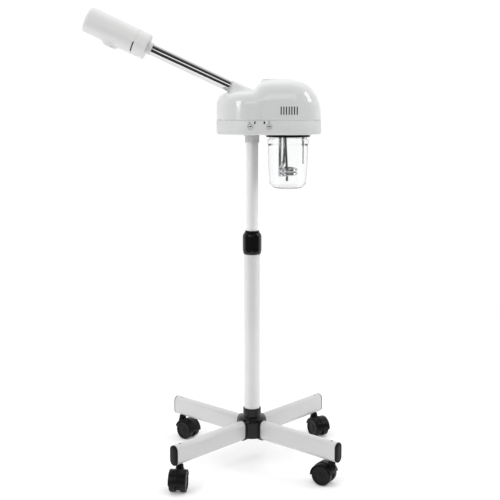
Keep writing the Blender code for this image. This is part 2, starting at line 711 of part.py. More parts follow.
def make_pole_socket(pole):
    """The metal cup that seats the head on the upper pole, flanged on the tray's floor."""
    sleeve_r, sleeve_foot, flange_r = POLE_HOLE_R - 0.35, 815.0, 26.0
    seat, cup_top = HEAD_FOOT + FLOOR_WALL + GAP, UPPER_POLE_TOP + 6.0
    bore = UPPER_POLE_R + GAP
    socket = [
        (0, cup_top), (19.0, cup_top), (19.0, seat + 3.7), (flange_r, seat + 3.7), (flange_r, seat),
        (sleeve_r, seat), (sleeve_r, sleeve_foot), (bore, sleeve_foot),
        (bore, UPPER_POLE_TOP + GAP), (0, UPPER_POLE_TOP + GAP),
    ]
    put("pole_socket", turned_mesh("pole_socket", socket), "grey_metal", pole)


def make_controls(pole):
    """Two push buttons with their lamps, the circuit board, and the inlet and fuse at the back."""
    wall_in = HEAD_R - HEAD_WALL
    for name, x in BUTTON_XS.items():
        # Local Z points out of the panel.
        face = HEAD_R + 1.8
        flange_r, flange_back = BUTTON_R + 1.4, wall_in - 1.8
        stem_end = BUTTON_TRAVEL + 0.7 - BOARD_Y
        profile = [
            (0, face), (BUTTON_R - 1.2, face), (BUTTON_R, face - 1.0), (BUTTON_R, wall_in - GAP),
            (flange_r, wall_in - GAP), (flange_r, flange_back), (3.0, flange_back), (3.0, stem_end),
            (0, stem_end),
        ]
        mesh = turned_mesh("button", profile, FEW_STEPS)
        put("button_" + name, mesh, "white_nozzle", pole, (x, 0, BUTTON_Z), (90, 0, 0))
    for name, x in LAMP_XS.items():
        width, height = LAMP_SIZE[0] / 2, LAMP_SIZE[1] / 2
        lens = box_mesh("lens", (x - width, -HEAD_R - 0.4, LAMP_Z - height),
                        (x + width, -HEAD_R + 5.0, LAMP_Z + height))
        put("lamp_" + name, lens, "lamp_dark", pole)
    half_x, thick, half_z = BOARD_SIZE[0] / 2, BOARD_SIZE[1], BOARD_SIZE[2] / 2
    board = box_mesh("circuit_board", (-half_x, 0, -half_z), (half_x, thick, half_z))
    put("circuit_board", board, "circuit_green", pole, (15.0, BOARD_Y, BUTTON_Z))
    half = [side / 2 for side in TRANSFORMER_SIZE]
    transformer = box_mesh("transformer", [-side for side in half], half)
    put("transformer", transformer, "grey_metal", pole, TRANSFORMER_AT)
    lamp = wire_mesh("ozone_lamp", [(-58, 52, 851), (-14, 52, 851)], OZONE_LAMP_R)
    put("ozone_lamp", lamp, "lamp_violet", pole)
    half_w, half_h = INLET_SIZE[0] / 2, INLET_SIZE[1] / 2
    inlet = box_mesh("power_inlet", (-half_w, -18.0, -half_h), (half_w, 0.5, half_h))
    inlet = put("power_inlet", inlet, "black_plastic", pole, (INLET_X, HEAD_R, INLET_Z))
    flange = box_mesh("inlet_flange", (-half_w - 3, GAP, -half_h - 2.5), (half_w + 3, 2.3, half_h + 2.5))
    boolean(inlet, put("inlet_flange", flange, None, pole, (INLET_X, HEAD_R, INLET_Z)), "UNION")
    cav_w, cav_h = INLET_CAVITY[0] / 2, INLET_CAVITY[1] / 2
    cavity = box_mesh("inlet_cavity", (-cav_w, 2.3 - INLET_CAVITY[2], -cav_h), (cav_w, 5.0, cav_h))
    boolean(inlet, put("inlet_cavity", cavity, None, pole, (INLET_X, HEAD_R, INLET_Z)))
    # Local Z points into the head, so the cap's outer face is its lowest point.
    rim = FUSE_R + 2.4
    fuse = [(0, 20.0), (FUSE_R, 20.0), (FUSE_R, -GAP), (rim, -GAP), (rim, -3.2), (rim - 1.0, -4.0), (0, -4.0)]
    put("fuse_cap", turned_mesh("fuse_cap", fuse, FEW_STEPS), "black_plastic", pole,
        (FUSE_X, HEAD_R, INLET_Z), (90, 0, 0))


# ---- Boiler --------------------------------------------------------------------------------------


def coil_points():
    """The heater's path about the jar's axis: down one lead, round the coil and up the other."""
    sides = 12
    start = math.atan2(LEAD_IN[1], LEAD_IN[0])
    points = [(*LEAD_IN, LEAD_TOP), (*LEAD_IN, COIL_FOOT + 30.0), (*LEAD_IN, COIL_FOOT + 6.0)]
    total = int(sides * COIL_TURNS)
    for i in range(1, total + 1):
        a = start + 2 * math.pi * i / sides
        z = COIL_FOOT + COIL_PITCH * i / sides
        points.append((COIL_R * math.cos(a), COIL_R * math.sin(a), z))
    top = COIL_FOOT + COIL_PITCH * COIL_TURNS
    points.append((-14.0, -2.0, top + 6.0))
    points.append((*LEAD_OUT, top + 20.0))
    points.append((*LEAD_OUT, LEAD_TOP))
    return points


def make_boiler(jar):
    """The jar's lid with everything it carries. Places here are measured from the jar's axis."""
    floor = HEAD_FOOT + FLOOR_WALL
    lid_profile = [
        (0, floor + 3.3), (LID_R + 6.4, floor + 3.3), (LID_R + 6.4, floor + GAP), (LID_R, floor + GAP),
        (LID_R, HEAD_FOOT + GAP), (0, HEAD_FOOT + GAP),
    ]
    lid = put("boiler_lid", turned_mesh("boiler_lid", lid_profile), "stainless", jar)
    nipple = rod_mesh("nipple", NIPPLE_R, floor + 1.0, floor + 13.0, 12)
    boolean(lid, put("steam_nipple", nipple, None, jar, NIPPLE_AT + (0,)), "UNION")
    holes = {
        "steam": (NIPPLE_AT, NIPPLE_R - 1.9),
        "lead_in": (LEAD_IN, HEATER_R + 2 * GAP),
        "lead_out": (LEAD_OUT, HEATER_R + 2 * GAP),
        "probe": (PROBE_AT, PROBE_R + 2 * GAP),
        "sensor": (SENSOR_AT, SENSOR_R + 2 * GAP),
    }
    for name, (place, radius) in holes.items():
        hole = rod_mesh("hole", radius, HEAD_FOOT - 10.0, HEAD_FOOT + 30.0, 10)
        boolean(lid, put("lid_hole_" + name, hole, None, jar, place + (0,)))
    put("heater_coil", wire_mesh("heater_coil", coil_points(), HEATER_R), "stainless", jar)
    sensor = [(*SENSOR_AT, LEAD_TOP), (*SENSOR_AT, 833.0), (-2.6, -11.0, 748.0), (-2.4, -10.8, 722.0)]
    put("dry_fire_sensor", wire_mesh("dry_fire_sensor", sensor, SENSOR_R), "grey_metal", jar)
    probe = [
        (0, LEAD_TOP), (PROBE_R, LEAD_TOP), (PROBE_R, 812.0), (1.3, 811.0), (1.3, 763.6), (0.6, 763.0),
        (0, 763.0),
    ]
    put("level_probe", turned_mesh("level_probe", probe, 12), "ceramic", jar, PROBE_AT + (0,))
    gasket = pipe_profile(45.4, 41.8, JAR_TOP + GAP, HEAD_FOOT)
    put("jar_gasket", turned_mesh("jar_gasket", gasket), "black_rubber", jar)
    ring = [
        (47.0, RING_FOOT), (47.0, HEAD_FOOT - GAP), (RING_R - 0.8, HEAD_FOOT - GAP),
        (RING_R, HEAD_FOOT - 1.1), (RING_R, RING_FOOT + 1.0), (RING_R - 1.0, RING_FOOT),
    ]
    put("jar_ring", turned_mesh("jar_ring", ring, MANY_STEPS), "black_plastic", jar)


def make_jar(jar):
    """The glass jar: a straight neck, a bead under it, a tapering body and a chamfered foot."""
    profile = [
        (0, JAR_FOOT + 4.0), (33.0, JAR_FOOT + 4.0), (41.6, 716.0), (46.2, 774.0), (46.2, 806.0),
        (43.2, 814.0), (43.2, JAR_TOP), (JAR_NECK_R, JAR_TOP), (JAR_NECK_R, 824.0),
        (50.2, 823.2), (51.0, 821.4), (51.0, 814.2), (50.2, 812.6), (49.5, 811.6), (49.5, 774.0),
        (45.0, 714.0), (36.5, 705.4), (34.0, JAR_FOOT), (0, JAR_FOOT),
    ]
    put("jar", turned_mesh("jar", profile, MANY_STEPS), "glass", jar)


def on_arm(distance):
    """A place on the arm's axis, at a distance from the socket's mouth towards the nozzle."""
    rise = math.radians(ARM_RISE)
    return Vector((MOUTH_X - distance * math.cos(rise), 0.0, MOUTH_Z + distance * math.sin(rise)))


def make_hose(pole):
    """The steam hose: up from the lid's nipple and over into the arm's tube."""
    start = Vector((JAR_X + NIPPLE_AT[0], NIPPLE_AT[1], HEAD_FOOT + FLOOR_WALL + 5.0))
    up = Vector((0.0, 0.0, 1.0))
    pulls = (start + 10.0 * up, start + 42.0 * up, on_arm(TUBE_START - 48.0), on_arm(TUBE_START - 6.0))
    points = [start]
    for i in range(HOSE_STEPS + 1):
        t = i / HOSE_STEPS
        shares = ((1 - t) ** 3, 3 * (1 - t) ** 2 * t, 3 * (1 - t) * t**2, t**3)
        points.append(sum((share * pull for share, pull in zip(shares, pulls)), Vector()))
    points.append(on_arm(TUBE_START - 2.0))
    mesh = wire_mesh("steam_hose", points, HOSE_R, hollow=HOSE_WALL)
    put("steam_hose", mesh, "black_rubber", pole)


# ---- Arm and nozzle ------------------------------------------------------------------------------


def make_arm(arm):
    """The bush and trim ring in the socket, and the tube with its neck and the nozzle's fixed half."""
    bush = pipe_profile(SOCKET_BORE_R - GAP, TUBE_R + GAP, TUBE_START + 0.5, -3.0)
    put("arm_bush", turned_mesh("arm_bush", bush, 24), "black_plastic", arm)
    trim = [
        (TUBE_R + 0.4, -2.2), (TUBE_R + 0.4, 0.0), (SOCKET_R - 1.2, 0.0), (SOCKET_R, -1.2), (SOCKET_R, -2.2),
    ]
    put("socket_trim", turned_mesh("socket_trim", trim), "chrome", arm)
    put("arm_tube", turned_mesh("arm_tube", pipe_profile(TUBE_R, TUBE_BORE_R, TUBE_START, TUBE_END)),
        "chrome", arm)
    neck_bore = TUBE_R + GAP
    neck = [
        (neck_bore, NECK_START), (neck_bore, NOZZLE_START - GAP), (NECK_R, NOZZLE_START - GAP),
        (NECK_R, NECK_START + 1.0), (NECK_R - 1.0, NECK_START),
    ]
    put("neck_collar", turned_mesh("neck_collar", neck), "white_nozzle", arm)
    inner = NOZZLE_R - NOZZLE_WALL
    rear = [
        (neck_bore, NOZZLE_START), (neck_bore, NOZZLE_START + 3.5), (inner, NOZZLE_START + 3.5),
        (inner, NOZZLE_SPLIT - 0.5), (NOZZLE_R, NOZZLE_SPLIT - 0.5), (NOZZLE_R, NOZZLE_START + 1.5),
        (NOZZLE_R - 1.5, NOZZLE_START),
    ]
    put("nozzle_rear", turned_mesh("nozzle_rear", rear), "white_nozzle", arm)


def make_nozzle(arm):
    """The turning barrel with its spigot in the fixed half, and the outlet on its underside."""
    spigot = NOZZLE_R - NOZZLE_WALL - 0.4
    inner = NOZZLE_R - NOZZLE_WALL
    start = NOZZLE_SPLIT + 0.5
    corner = NOZZLE_END - NOZZLE_ROUND
    outer_round = arc(NOZZLE_R - NOZZLE_ROUND, corner, NOZZLE_ROUND, NOZZLE_ROUND, 90.0, 0.0, 5)
    profile = [
        (0, NOZZLE_END), *outer_round, (NOZZLE_R, start), (spigot, start), (spigot, start - 12.0),
        (spigot - 2.0, start - 12.0), (spigot - 2.0, start + 2.0), (inner, start + 4.0),
        (inner, corner), (inner - 4.5, NOZZLE_END - NOZZLE_WALL), (0, NOZZLE_END - NOZZLE_WALL),
    ]
    barrel = put("nozzle_barrel", turned_mesh("nozzle_barrel", profile, MANY_STEPS), "white_nozzle", arm)
    outlet_at = (0, 0, NOZZLE_START + OUTLET_FROM_START)
    hole = rod_mesh("outlet_hole", OUTLET_R + GAP, 10.0, 50.0, 20)
    boolean(barrel, put("outlet_hole", hole, None, arm, outlet_at, (0, -90, 0)))
    rim = NOZZLE_R + OUTLET_RISE
    outlet = [
        (0, rim - 5.0), (OUTLET_R - 2.6, rim - 5.0), (OUTLET_R - 2.2, rim), (OUTLET_R - 1.2, rim),
        (OUTLET_R, rim - 2.0), (OUTLET_R, 22.0), (OUTLET_R - 2.2, 22.0), (OUTLET_R - 2.2, rim - 7.0),
        (0, rim - 7.0),
    ]
    outlet = put("nozzle_outlet", turned_mesh("nozzle_outlet", outlet, FEW_STEPS), "white_nozzle", arm,
                 outlet_at, (0, -90, 0))
    spots = [(0.0, 0.0)] + [(6.4 * math.cos(math.radians(a)), 6.4 * math.sin(math.radians(a)))
                            for a in range(0, 360, 60)]
    for i, (x, y) in enumerate(spots):
        pore = rod_mesh("pore", 1.8, 20.0, 50.0, 6)
        # The outlet's own Z is the arm's -X, so its sideways places lie along the arm's Z and Y.
        place = (0, y, outlet_at[2] + x)
        boolean(outlet, put(f"outlet_pore_{i}", pore, None, arm, place, (0, -90, 0)))


def main():
    start_scene()
    pole = empty_at("pole_axis", None, (POLE_X, POLE_Y, 0))
    # The arm's local Z is its axis, towards the nozzle, and its local X is its upper side.
    arm = empty_at("arm_axis", pole, (MOUTH_X, 0, MOUTH_Z), (0, ARM_RISE - 90.0, 0))
    jar = empty_at("jar_axis", pole, (JAR_X, 0, 0))
    make_base(pole)
    make_pole(pole)
    make_clamp(pole)
    make_tray(pole)
    make_pole_socket(pole)
    make_cover(pole, arm)
    make_controls(pole)
    make_boiler(jar)
    make_jar(jar)
    make_hose(pole)
    make_arm(arm)
    make_nozzle(arm)
    bpy.context.view_layer.update()


main()
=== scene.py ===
"""Looks of the facial steamer on a rolling stand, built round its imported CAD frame.

Sizes are in millimetres and angles in degrees. Places are measured from the pole's axis on the floor:
POLE, ARM, JAR and the caster and leg matrices carry them into the CAD frame, in metres. The floor, the
lights and the camera are placed in that frame, in metres.
"""

import math

import bmesh
import bpy
import numpy as np
from mathutils import Matrix, Vector


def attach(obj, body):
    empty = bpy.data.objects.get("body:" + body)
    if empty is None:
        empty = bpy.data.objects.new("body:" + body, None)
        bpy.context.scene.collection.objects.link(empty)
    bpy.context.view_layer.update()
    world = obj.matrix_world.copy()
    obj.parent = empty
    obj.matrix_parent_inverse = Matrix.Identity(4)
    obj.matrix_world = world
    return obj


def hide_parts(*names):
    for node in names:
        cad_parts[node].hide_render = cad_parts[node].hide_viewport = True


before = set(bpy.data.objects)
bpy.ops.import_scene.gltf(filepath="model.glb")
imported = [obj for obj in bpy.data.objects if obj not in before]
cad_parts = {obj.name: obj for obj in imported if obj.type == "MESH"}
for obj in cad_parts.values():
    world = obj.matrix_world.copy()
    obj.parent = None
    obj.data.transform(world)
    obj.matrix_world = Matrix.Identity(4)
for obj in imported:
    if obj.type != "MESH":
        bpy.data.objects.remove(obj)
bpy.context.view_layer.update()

MM = 0.001
SCALE = Matrix.Scale(MM, 4)


def at(x=0.0, y=0.0, z=0.0):
    return Matrix.Translation((x * MM, y * MM, z * MM))


def turn(angle, axis):
    return Matrix.Rotation(math.radians(angle), 4, axis)


# ---- Sizes shared with the CAD ----

HEADINGS = {"front_left": 227.9, "front_right": 317.9, "back_right": 47.9, "back_left": 137.9}
TRAILS = {"front_left": 264.0, "front_right": 150.0, "back_right": 300.0, "back_left": 320.0}
LEG_END, LEG_ROOT, LEG_MID_Z = 278.4, 17.0, 85.9
LEG_HALF_WIDTH, LEG_HALF_HEIGHT, LEG_WALL = 12.5, 25.0, 1.5
SWIVEL_FROM_AXIS = 258.0
WHEEL_R, WHEEL_IN, TRAIL = 25.0, 5.0, 20.0
LOWER_POLE_R, LOWER_POLE_FOOT, LOWER_POLE_TOP = 20.0, 114.3, 563.0
UPPER_POLE_R, UPPER_POLE_FOOT, UPPER_POLE_TOP, POLE_WALL = 15.0, 344.0, 862.0, 1.5
HEAD_R, HEAD_LEFT_X, JAR_X = 81.0, -6.5, 88.4
HEAD_FOOT, SEAM = 836.0, 871.0
BUTTON_X, LAMP_X = {"power": -4.6, "ozone": 40.0}, {"power": 6.1, "ozone": 28.8}
BUTTON_Z, INLET_X, FUSE_X, REAR_Z = 856.4, 52.0, 18.0, 854.5
CAP_X, CAP_HALF_X, CAP_HALF_Y = 63.0, 39.0, 29.0
ARM_RISE, ARM_R, ARM_WALL, MOUTH_X, MOUTH_Z = 25.06, 13.5, 1.3, -54.9, 952.2
SLEEVE_R, SLEEVE_BORE = 16.4, 15.0
NOZZLE_START, NOZZLE_SPLIT, NOZZLE_END, NOZZLE_R = 219.9, 251.0, 380.6, 31.5
OUTLET_AT = NOZZLE_START + 85.7
GAP = 0.3

POLE = at(97.8, 13.4)
JAR = POLE @ at(JAR_X)
# Local Z of ARM runs along the arm to the nozzle, and local X is its upper side.
ARM = POLE @ at(MOUTH_X, 0.0, MOUTH_Z) @ turn(ARM_RISE - 90.0, "Y")
PANEL = POLE @ turn(90.0, "X")  # local X stays, local Y is height and local Z points out of the front


def along(heading, distance, z=0.0):
    a = math.radians(heading)
    return at(distance * math.cos(a), distance * math.sin(a), z)


# ---- Materials ----


def set_inputs(node, **values):
    """Sets a node's inputs by name, with _ for each space in a name."""
    for name, value in values.items():
        node.inputs[name.replace("_", " ")].default_value = value


class Shader:
    """A Principled material with helpers that wire noise into it, in the object's own coordinates."""

    def __init__(self, name, colour, roughness, metallic=0.0, **sockets):
        self.material = bpy.data.materials.new(name)
        self.material.use_nodes = True
        self.tree = self.material.node_tree
        self.principled = self.tree.nodes["Principled BSDF"]
        self.colour = colour
        set_inputs(self.principled, Base_Color=(*colour, 1.0), Roughness=roughness, Metallic=metallic)
        set_inputs(self.principled, **sockets)
        self.place = self.node("ShaderNodeTexCoord").outputs["Object"]

    def node(self, kind, **values):
        made = self.tree.nodes.new(kind)
        for name, value in values.items():
            setattr(made, name, value)
        return made

    def link(self, source, target):
        self.tree.links.new(source, target)

    def noise(self, scale, detail=3.0, stretch=(1.0, 1.0, 1.0), rough=0.5):
        """Noise with a feature size of about 1 / scale metres, stretched along an axis if asked."""
        mapping = self.node("ShaderNodeMapping")
        set_inputs(mapping, Scale=stretch)
        made = self.node("ShaderNodeTexNoise")
        set_inputs(made, Scale=scale, Detail=detail, Roughness=rough)
        self.link(self.place, mapping.inputs["Vector"])
        self.link(mapping.outputs["Vector"], made.inputs["Vector"])
        return made.outputs["Fac"]

    def ramp(self, source, low, high):
        """Maps noise to colours or grey levels between two stops."""
        made = self.node("ShaderNodeValToRGB")
        stops = made.color_ramp.elements
        for stop, place, value in ((stops[0], 0.35, low), (stops[1], 0.65, high)):
            stop.position = place
            stop.color = (*value, 1.0) if isinstance(value, tuple) else (value, value, value, 1.0)
        self.link(source, made.inputs["Fac"])
        return made.outputs["Color"]

    def vary(self, socket, scale, low, high, **options):
        """Lets an input drift between two values."""
        self.link(self.ramp(self.noise(scale, **options), low, high), self.principled.inputs[socket])

    def vary_colour(self, scale, amount, **options):
        """Makes the colour drift by a small share of itself."""
        low = tuple(c * (1.0 - amount) for c in self.colour)
        high = tuple(min(1.0, c * (1.0 + amount)) for c in self.colour)
        self.vary("Base Color", scale, low, high, **options)

    def bump(self, *layers, distance=0.0001):
        """Bump from one or more (source, strength) layers, each on top of the last."""
        normal = None
        for source, strength in layers:
            made = self.node("ShaderNodeBump")
            set_inputs(made, Strength=strength, Distance=distance)
            self.link(source, made.inputs["Height"])
            if normal:
                self.link(normal, made.inputs["Normal"])
            normal = made.outputs["Normal"]
        self.link(normal, self.principled.inputs["Normal"])


def moulded(name, colour, low, high, grain=900.0, strength=0.05, **sockets):
    """Injection-moulded plastic: a slight orange peel, a fine grain and a little unevenness in gloss."""
    made = Shader(name, colour, (low + high) / 2, **sockets)
    made.vary_colour(14.0, 0.018, detail=2.0)
    made.vary("Roughness", 38.0, low, high, detail=4.0)
    made.bump((made.noise(70.0, 2.0), strength * 0.6), (made.noise(grain, 4.0, rough=0.6), strength))
    return made.material


def metal(name, colour, low, high, stretch, grain=260.0, strength=0.05, **sockets):
    """Metal with a drawn or brushed grain, long in the direction that stretch makes small."""
    made = Shader(name, colour, (low + high) / 2, 1.0, **sockets)
    made.vary_colour(20.0, 0.03, detail=2.0)
    made.vary("Roughness", grain * 0.5, low, high, detail=5.0, stretch=stretch)
    made.bump((made.noise(grain, 5.0, stretch, 0.6), strength), distance=0.00005)
    return made.material


def powder_coat(name, grey):
    made = Shader(name, (grey, grey, grey), 0.3, 0.0, Coat_Weight=0.35, Coat_Roughness=0.12,
                  Sheen_Weight=0.15, Sheen_Roughness=0.4)
    made.vary_colour(9.0, 0.015, detail=2.0)
    made.vary("Roughness", 120.0, 0.22, 0.36, detail=4.0)
    made.bump((made.noise(420.0, 2.0), 0.16), (made.noise(1500.0, 2.0), 0.05))
    return made.material


def clear_glass():
    made = Shader("clear_glass", (0.985, 0.992, 0.99), 0.0, 0.0, Transmission_Weight=1.0, IOR=1.22)
    made.vary("Roughness", 30.0, 0.0, 0.03, detail=3.0)
    made.bump((made.noise(26.0, 1.0, (1.0, 1.0, 0.4)), 0.12), distance=0.0004)
    return made.material


def quartz():
    made = Shader("lamp_quartz", (0.72, 0.66, 0.9), 0.05, 0.0, Transmission_Weight=0.7, IOR=1.46)
    made.vary_colour(40.0, 0.06, detail=2.0)
    made.bump((made.noise(200.0, 2.0), 0.05))
    return made.material


def board_green():
    """Board laminate: solder mask over a faint grid of copper tracks."""
    made = Shader("board_laminate", (0.02, 0.16, 0.06), 0.35)
    tracks = made.node("ShaderNodeTexBrick", offset=0.5)
    set_inputs(tracks, Scale=160.0, Color1=(0.02, 0.15, 0.055, 1.0), Color2=(0.025, 0.19, 0.07, 1.0),
               Mortar=(0.06, 0.3, 0.12, 1.0), Mortar_Size=0.04)
    spin = made.node("ShaderNodeMapping")
    set_inputs(spin, Rotation=(math.radians(90.0), 0.0, 0.0))
    made.link(made.place, spin.inputs["Vector"])
    made.link(spin.outputs["Vector"], tracks.inputs["Vector"])
    made.link(tracks.outputs["Color"], made.principled.inputs["Base Color"])
    made.vary("Roughness", 300.0, 0.3, 0.5)
    return made.material


STREAK_Z = (1.0, 1.0, 0.04)  # stretches a metal's grain along Z
HEAD_WHITE = moulded("head_gloss_white", (0.80, 0.805, 0.81), 0.10, 0.16, strength=0.02,
                     Coat_Weight=0.6, Coat_Roughness=0.03)
TRAY_WHITE = moulded("tray_satin_white", (0.77, 0.775, 0.78), 0.36, 0.46)
NOZZLE_WHITE = moulded("nozzle_satin_white", (0.84, 0.84, 0.835), 0.20, 0.30)
BUTTON_WHITE = moulded("button_white", (0.68, 0.68, 0.68), 0.22, 0.32)
BLACK = moulded("black_moulded", (0.005, 0.005, 0.0055), 0.26, 0.40, strength=0.14, Specular_IOR_Level=0.16)
BLACK_GLOSS = moulded("black_glossy", (0.004, 0.004, 0.0045), 0.18, 0.28, strength=0.06,
                      Specular_IOR_Level=0.3)
WHEEL_BLACK = moulded("wheel_black", (0.006, 0.006, 0.0065), 0.34, 0.52, strength=0.2,
                      Specular_IOR_Level=0.2)
RUBBER = moulded("black_rubber", (0.02, 0.02, 0.02), 0.55, 0.75, grain=1400.0, strength=0.25)
PAINT = powder_coat("powder_coat", 0.62)
# A lighter copy of the same powder coat for the inner pole, as painted light: it brightens the pole where
# the head above it shades it.
LIT_POLE_PAINT = powder_coat("pole_powder_coat_painted_light", 0.72)
CHROME = metal("chrome_plate", (0.67, 0.67, 0.68), 0.03, 0.07, (1.0, 1.0, 1.0), 60.0, 0.02)
STAINLESS = metal("polished_stainless", (0.50, 0.50, 0.51), 0.10, 0.24, STREAK_Z)
HEATER_STEEL = metal("heater_steel", (0.58, 0.58, 0.59), 0.08, 0.16, STREAK_Z)
SATIN_SILVER = metal("satin_silver", (0.80, 0.80, 0.81), 0.22, 0.30, (1.0, 1.0, 1.0))
GREY_CUP = moulded("grey_cup", (0.66, 0.66, 0.67), 0.28, 0.4, strength=0.06)
DARK_METAL = metal("dark_metal", (0.20, 0.20, 0.21), 0.22, 0.38, STREAK_Z)
BRASS = metal("inlet_pin_metal", (0.72, 0.68, 0.55), 0.14, 0.28, STREAK_Z)
GLASS = clear_glass()
QUARTZ = quartz()
BOARD = board_green()
LENS_GREY = moulded("lens_grey", (0.10, 0.10, 0.105), 0.10, 0.16, strength=0.02)
LENS_BLACK = moulded("lens_black", (0.012, 0.012, 0.014), 0.08, 0.14, strength=0.02)
PRINT_GREY = moulded("print_grey", (0.16, 0.16, 0.165), 0.45, 0.6)


# ---- Mesh makers: all of them work in millimetres ----


def placed(name, data):
    made = bpy.data.objects.new(name, data)
    bpy.context.scene.collection.objects.link(made)
    return made


def piece(name, mesh, material, body, place=POLE, replaces=None, smooth=32.0):
    """Shows a mesh as a piece of a CAD body, with its rotation in the mesh, so that its box is tight."""
    mesh = mesh.copy()
    mesh.name = name
    mesh.transform(place.to_3x3().to_4x4())
    mesh.shade_smooth()
    mesh.set_sharp_from_angle(angle=math.radians(smooth))
    mesh.materials.append(material)
    made = placed(name, mesh)
    made.matrix_world = Matrix.Translation(place.translation) @ SCALE
    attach(made, body)
    if replaces:
        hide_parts(replaces)


def from_bmesh(bm):
    mesh = bpy.data.meshes.new("made")
    bmesh.ops.recalc_face_normals(bm, faces=bm.faces)
    bm.to_mesh(mesh)
    bm.free()
    return mesh


def evaluated(made):
    """An object's mesh with its modifiers applied and loose seams welded; the object is removed."""
    bpy.context.view_layer.update()
    mesh = bpy.data.meshes.new_from_object(made.evaluated_get(bpy.context.evaluated_depsgraph_get()))
    data = made.data
    bpy.data.objects.remove(made)
    if isinstance(data, bpy.types.Curve):
        bpy.data.curves.remove(data)
    bm = bmesh.new()
    bm.from_mesh(mesh)
    bmesh.ops.remove_doubles(bm, verts=bm.verts, dist=0.002)
    bm.to_mesh(mesh)
    bm.free()
    mesh.materials.clear()
    return mesh


def moved(mesh, matrix):
    """The mesh after a move given in millimetres."""
    mesh.transform(matrix)
    return mesh


def shift(x=0.0, y=0.0, z=0.0):
    return Matrix.Translation((x, y, z))


def joined(*meshes):
    bm = bmesh.new()
    for mesh in meshes:
        bm.from_mesh(mesh)
    return from_bmesh(bm)


def combined(mesh, tools, operation="DIFFERENCE"):
    """The mesh after an exact boolean with each tool in turn."""
    made = placed("working", mesh)
    helpers = [placed("working", tool) for tool in tools]
    for helper in helpers:
        step = made.modifiers.new("step", "BOOLEAN")
        step.object = helper
        step.operation = operation
        step.solver = "EXACT"
    result = evaluated(made)
    for helper in helpers:
        bpy.data.objects.remove(helper)
    return result


def bevelled(mesh, width, segments):
    made = placed("working", mesh)
    edge = made.modifiers.new("edge", "BEVEL")
    edge.width = width
    edge.segments = segments
    edge.limit_method = "ANGLE"
    edge.angle_limit = math.radians(40.0)
    return evaluated(made)


def block(low, high, round_off=0.0, segments=3):
    bm = bmesh.new()
    bmesh.ops.create_cube(bm, size=1.0)
    bmesh.ops.scale(bm, vec=[b - a for a, b in zip(low, high)], verts=bm.verts)
    bmesh.ops.translate(bm, vec=[(a + b) / 2 for a, b in zip(low, high)], verts=bm.verts)
    mesh = from_bmesh(bm)
    return bevelled(mesh, round_off, segments) if round_off else mesh


def rod(radius, start, end, sides=48):
    bm = bmesh.new()
    bmesh.ops.create_cone(bm, cap_ends=True, segments=sides, radius1=radius, radius2=radius,
                          depth=end - start, matrix=shift(z=(start + end) / 2))
    return from_bmesh(bm)


def lathe(profile, steps=96, relief=None):
    """Turns (radius, height) points about Z: closed into a ring, or a solid if both ends are on the axis.

    relief(angle, radius, height) may return a changed radius, for ribs, flutes and treads.
    """
    solid = profile[0][0] < 1e-6
    bm = bmesh.new()
    columns = []
    for i in range(steps):
        a = 2 * math.pi * i / steps
        column = []
        for r, z in profile[1:-1] if solid else profile:
            wide = relief(a, r, z) if relief else r
            column.append(bm.verts.new((wide * math.cos(a), wide * math.sin(a), z)))
        columns.append(column)
    count = len(columns[0])
    for i in range(steps):
        here, there = columns[i], columns[(i + 1) % steps]
        for j in range(count - 1 if solid else count):
            k = (j + 1) % count
            bm.faces.new((here[j], here[k], there[k], there[j]))
    if solid:
        for end, j in ((profile[0], 0), (profile[-1], count - 1)):
            tip = bm.verts.new((0.0, 0.0, end[1]))
            for i in range(steps):
                bm.faces.new((columns[i][j], columns[(i + 1) % steps][j], tip))
    return from_bmesh(bm)


def eased(profile, radius, count=4):
    """The closed profile with each corner rounded off that is off the axis and not nearly straight."""
    points = []
    total = len(profile)
    for i, corner in enumerate(profile):
        here = Vector(corner)
        back, ahead = Vector(profile[i - 1]) - here, Vector(profile[(i + 1) % total]) - here
        on_axis, doubled = corner[0] < 1e-6, min(back.length, ahead.length) < 1e-6
        if on_axis or doubled or back.angle(ahead) > math.radians(165.0):
            points.append(corner)
            continue
        cut = min(radius, 0.45 * back.length, 0.45 * ahead.length)
        first, last = here + back.normalized() * cut, here + ahead.normalized() * cut
        for k in range(count):
            t = k / (count - 1)
            points.append(tuple((1 - t) ** 2 * first + 2 * t * (1 - t) * here + t**2 * last))
    return points


def pipe(radius, wall, foot, top):
    bore = radius - wall
    return lathe(eased([(bore, foot), (bore, top), (radius, top), (radius, foot)], 0.4), 96)


def arc(cx, cy, rx, ry, start, end, count):
    angles = [math.radians(start + (end - start) * i / (count - 1)) for i in range(count)]
    return [(cx + rx * math.cos(a), cy + ry * math.sin(a)) for a in angles]


def stadium(half_x, half_y, quarter=10):
    radius = min(half_x, half_y)
    dx, dy = half_x - radius, half_y - radius
    points = []
    for corner, (sx, sy) in enumerate(((1, 1), (-1, 1), (-1, -1), (1, -1))):
        for x, y in arc(sx * dx, sy * dy, radius, radius, 90 * corner, 90 * corner + 90, quarter + 1):
            if not points or math.dist((x, y), points[-1]) > 0.01:
                points.append((x, y))
    if math.dist(points[0], points[-1]) < 0.01:
        points.pop()
    return points


def plate(outlines, thickness, round_off=0.0, resolution=2):
    """A flat outline with holes, centred on Z = 0, with rounded edges if asked."""
    curve = bpy.data.curves.new("plate", "CURVE")
    curve.dimensions = "2D"
    curve.fill_mode = "BOTH"
    curve.extrude = thickness / 2 - round_off
    curve.bevel_depth = round_off
    curve.bevel_resolution = resolution
    curve.offset = -round_off
    for outline in outlines:
        spline = curve.splines.new("POLY")
        spline.points.add(len(outline) - 1)
        for point, (x, y) in zip(spline.points, outline):
            point.co = (x, y, 0.0, 1.0)
        spline.use_cyclic_u = True
    return evaluated(placed("working", curve))


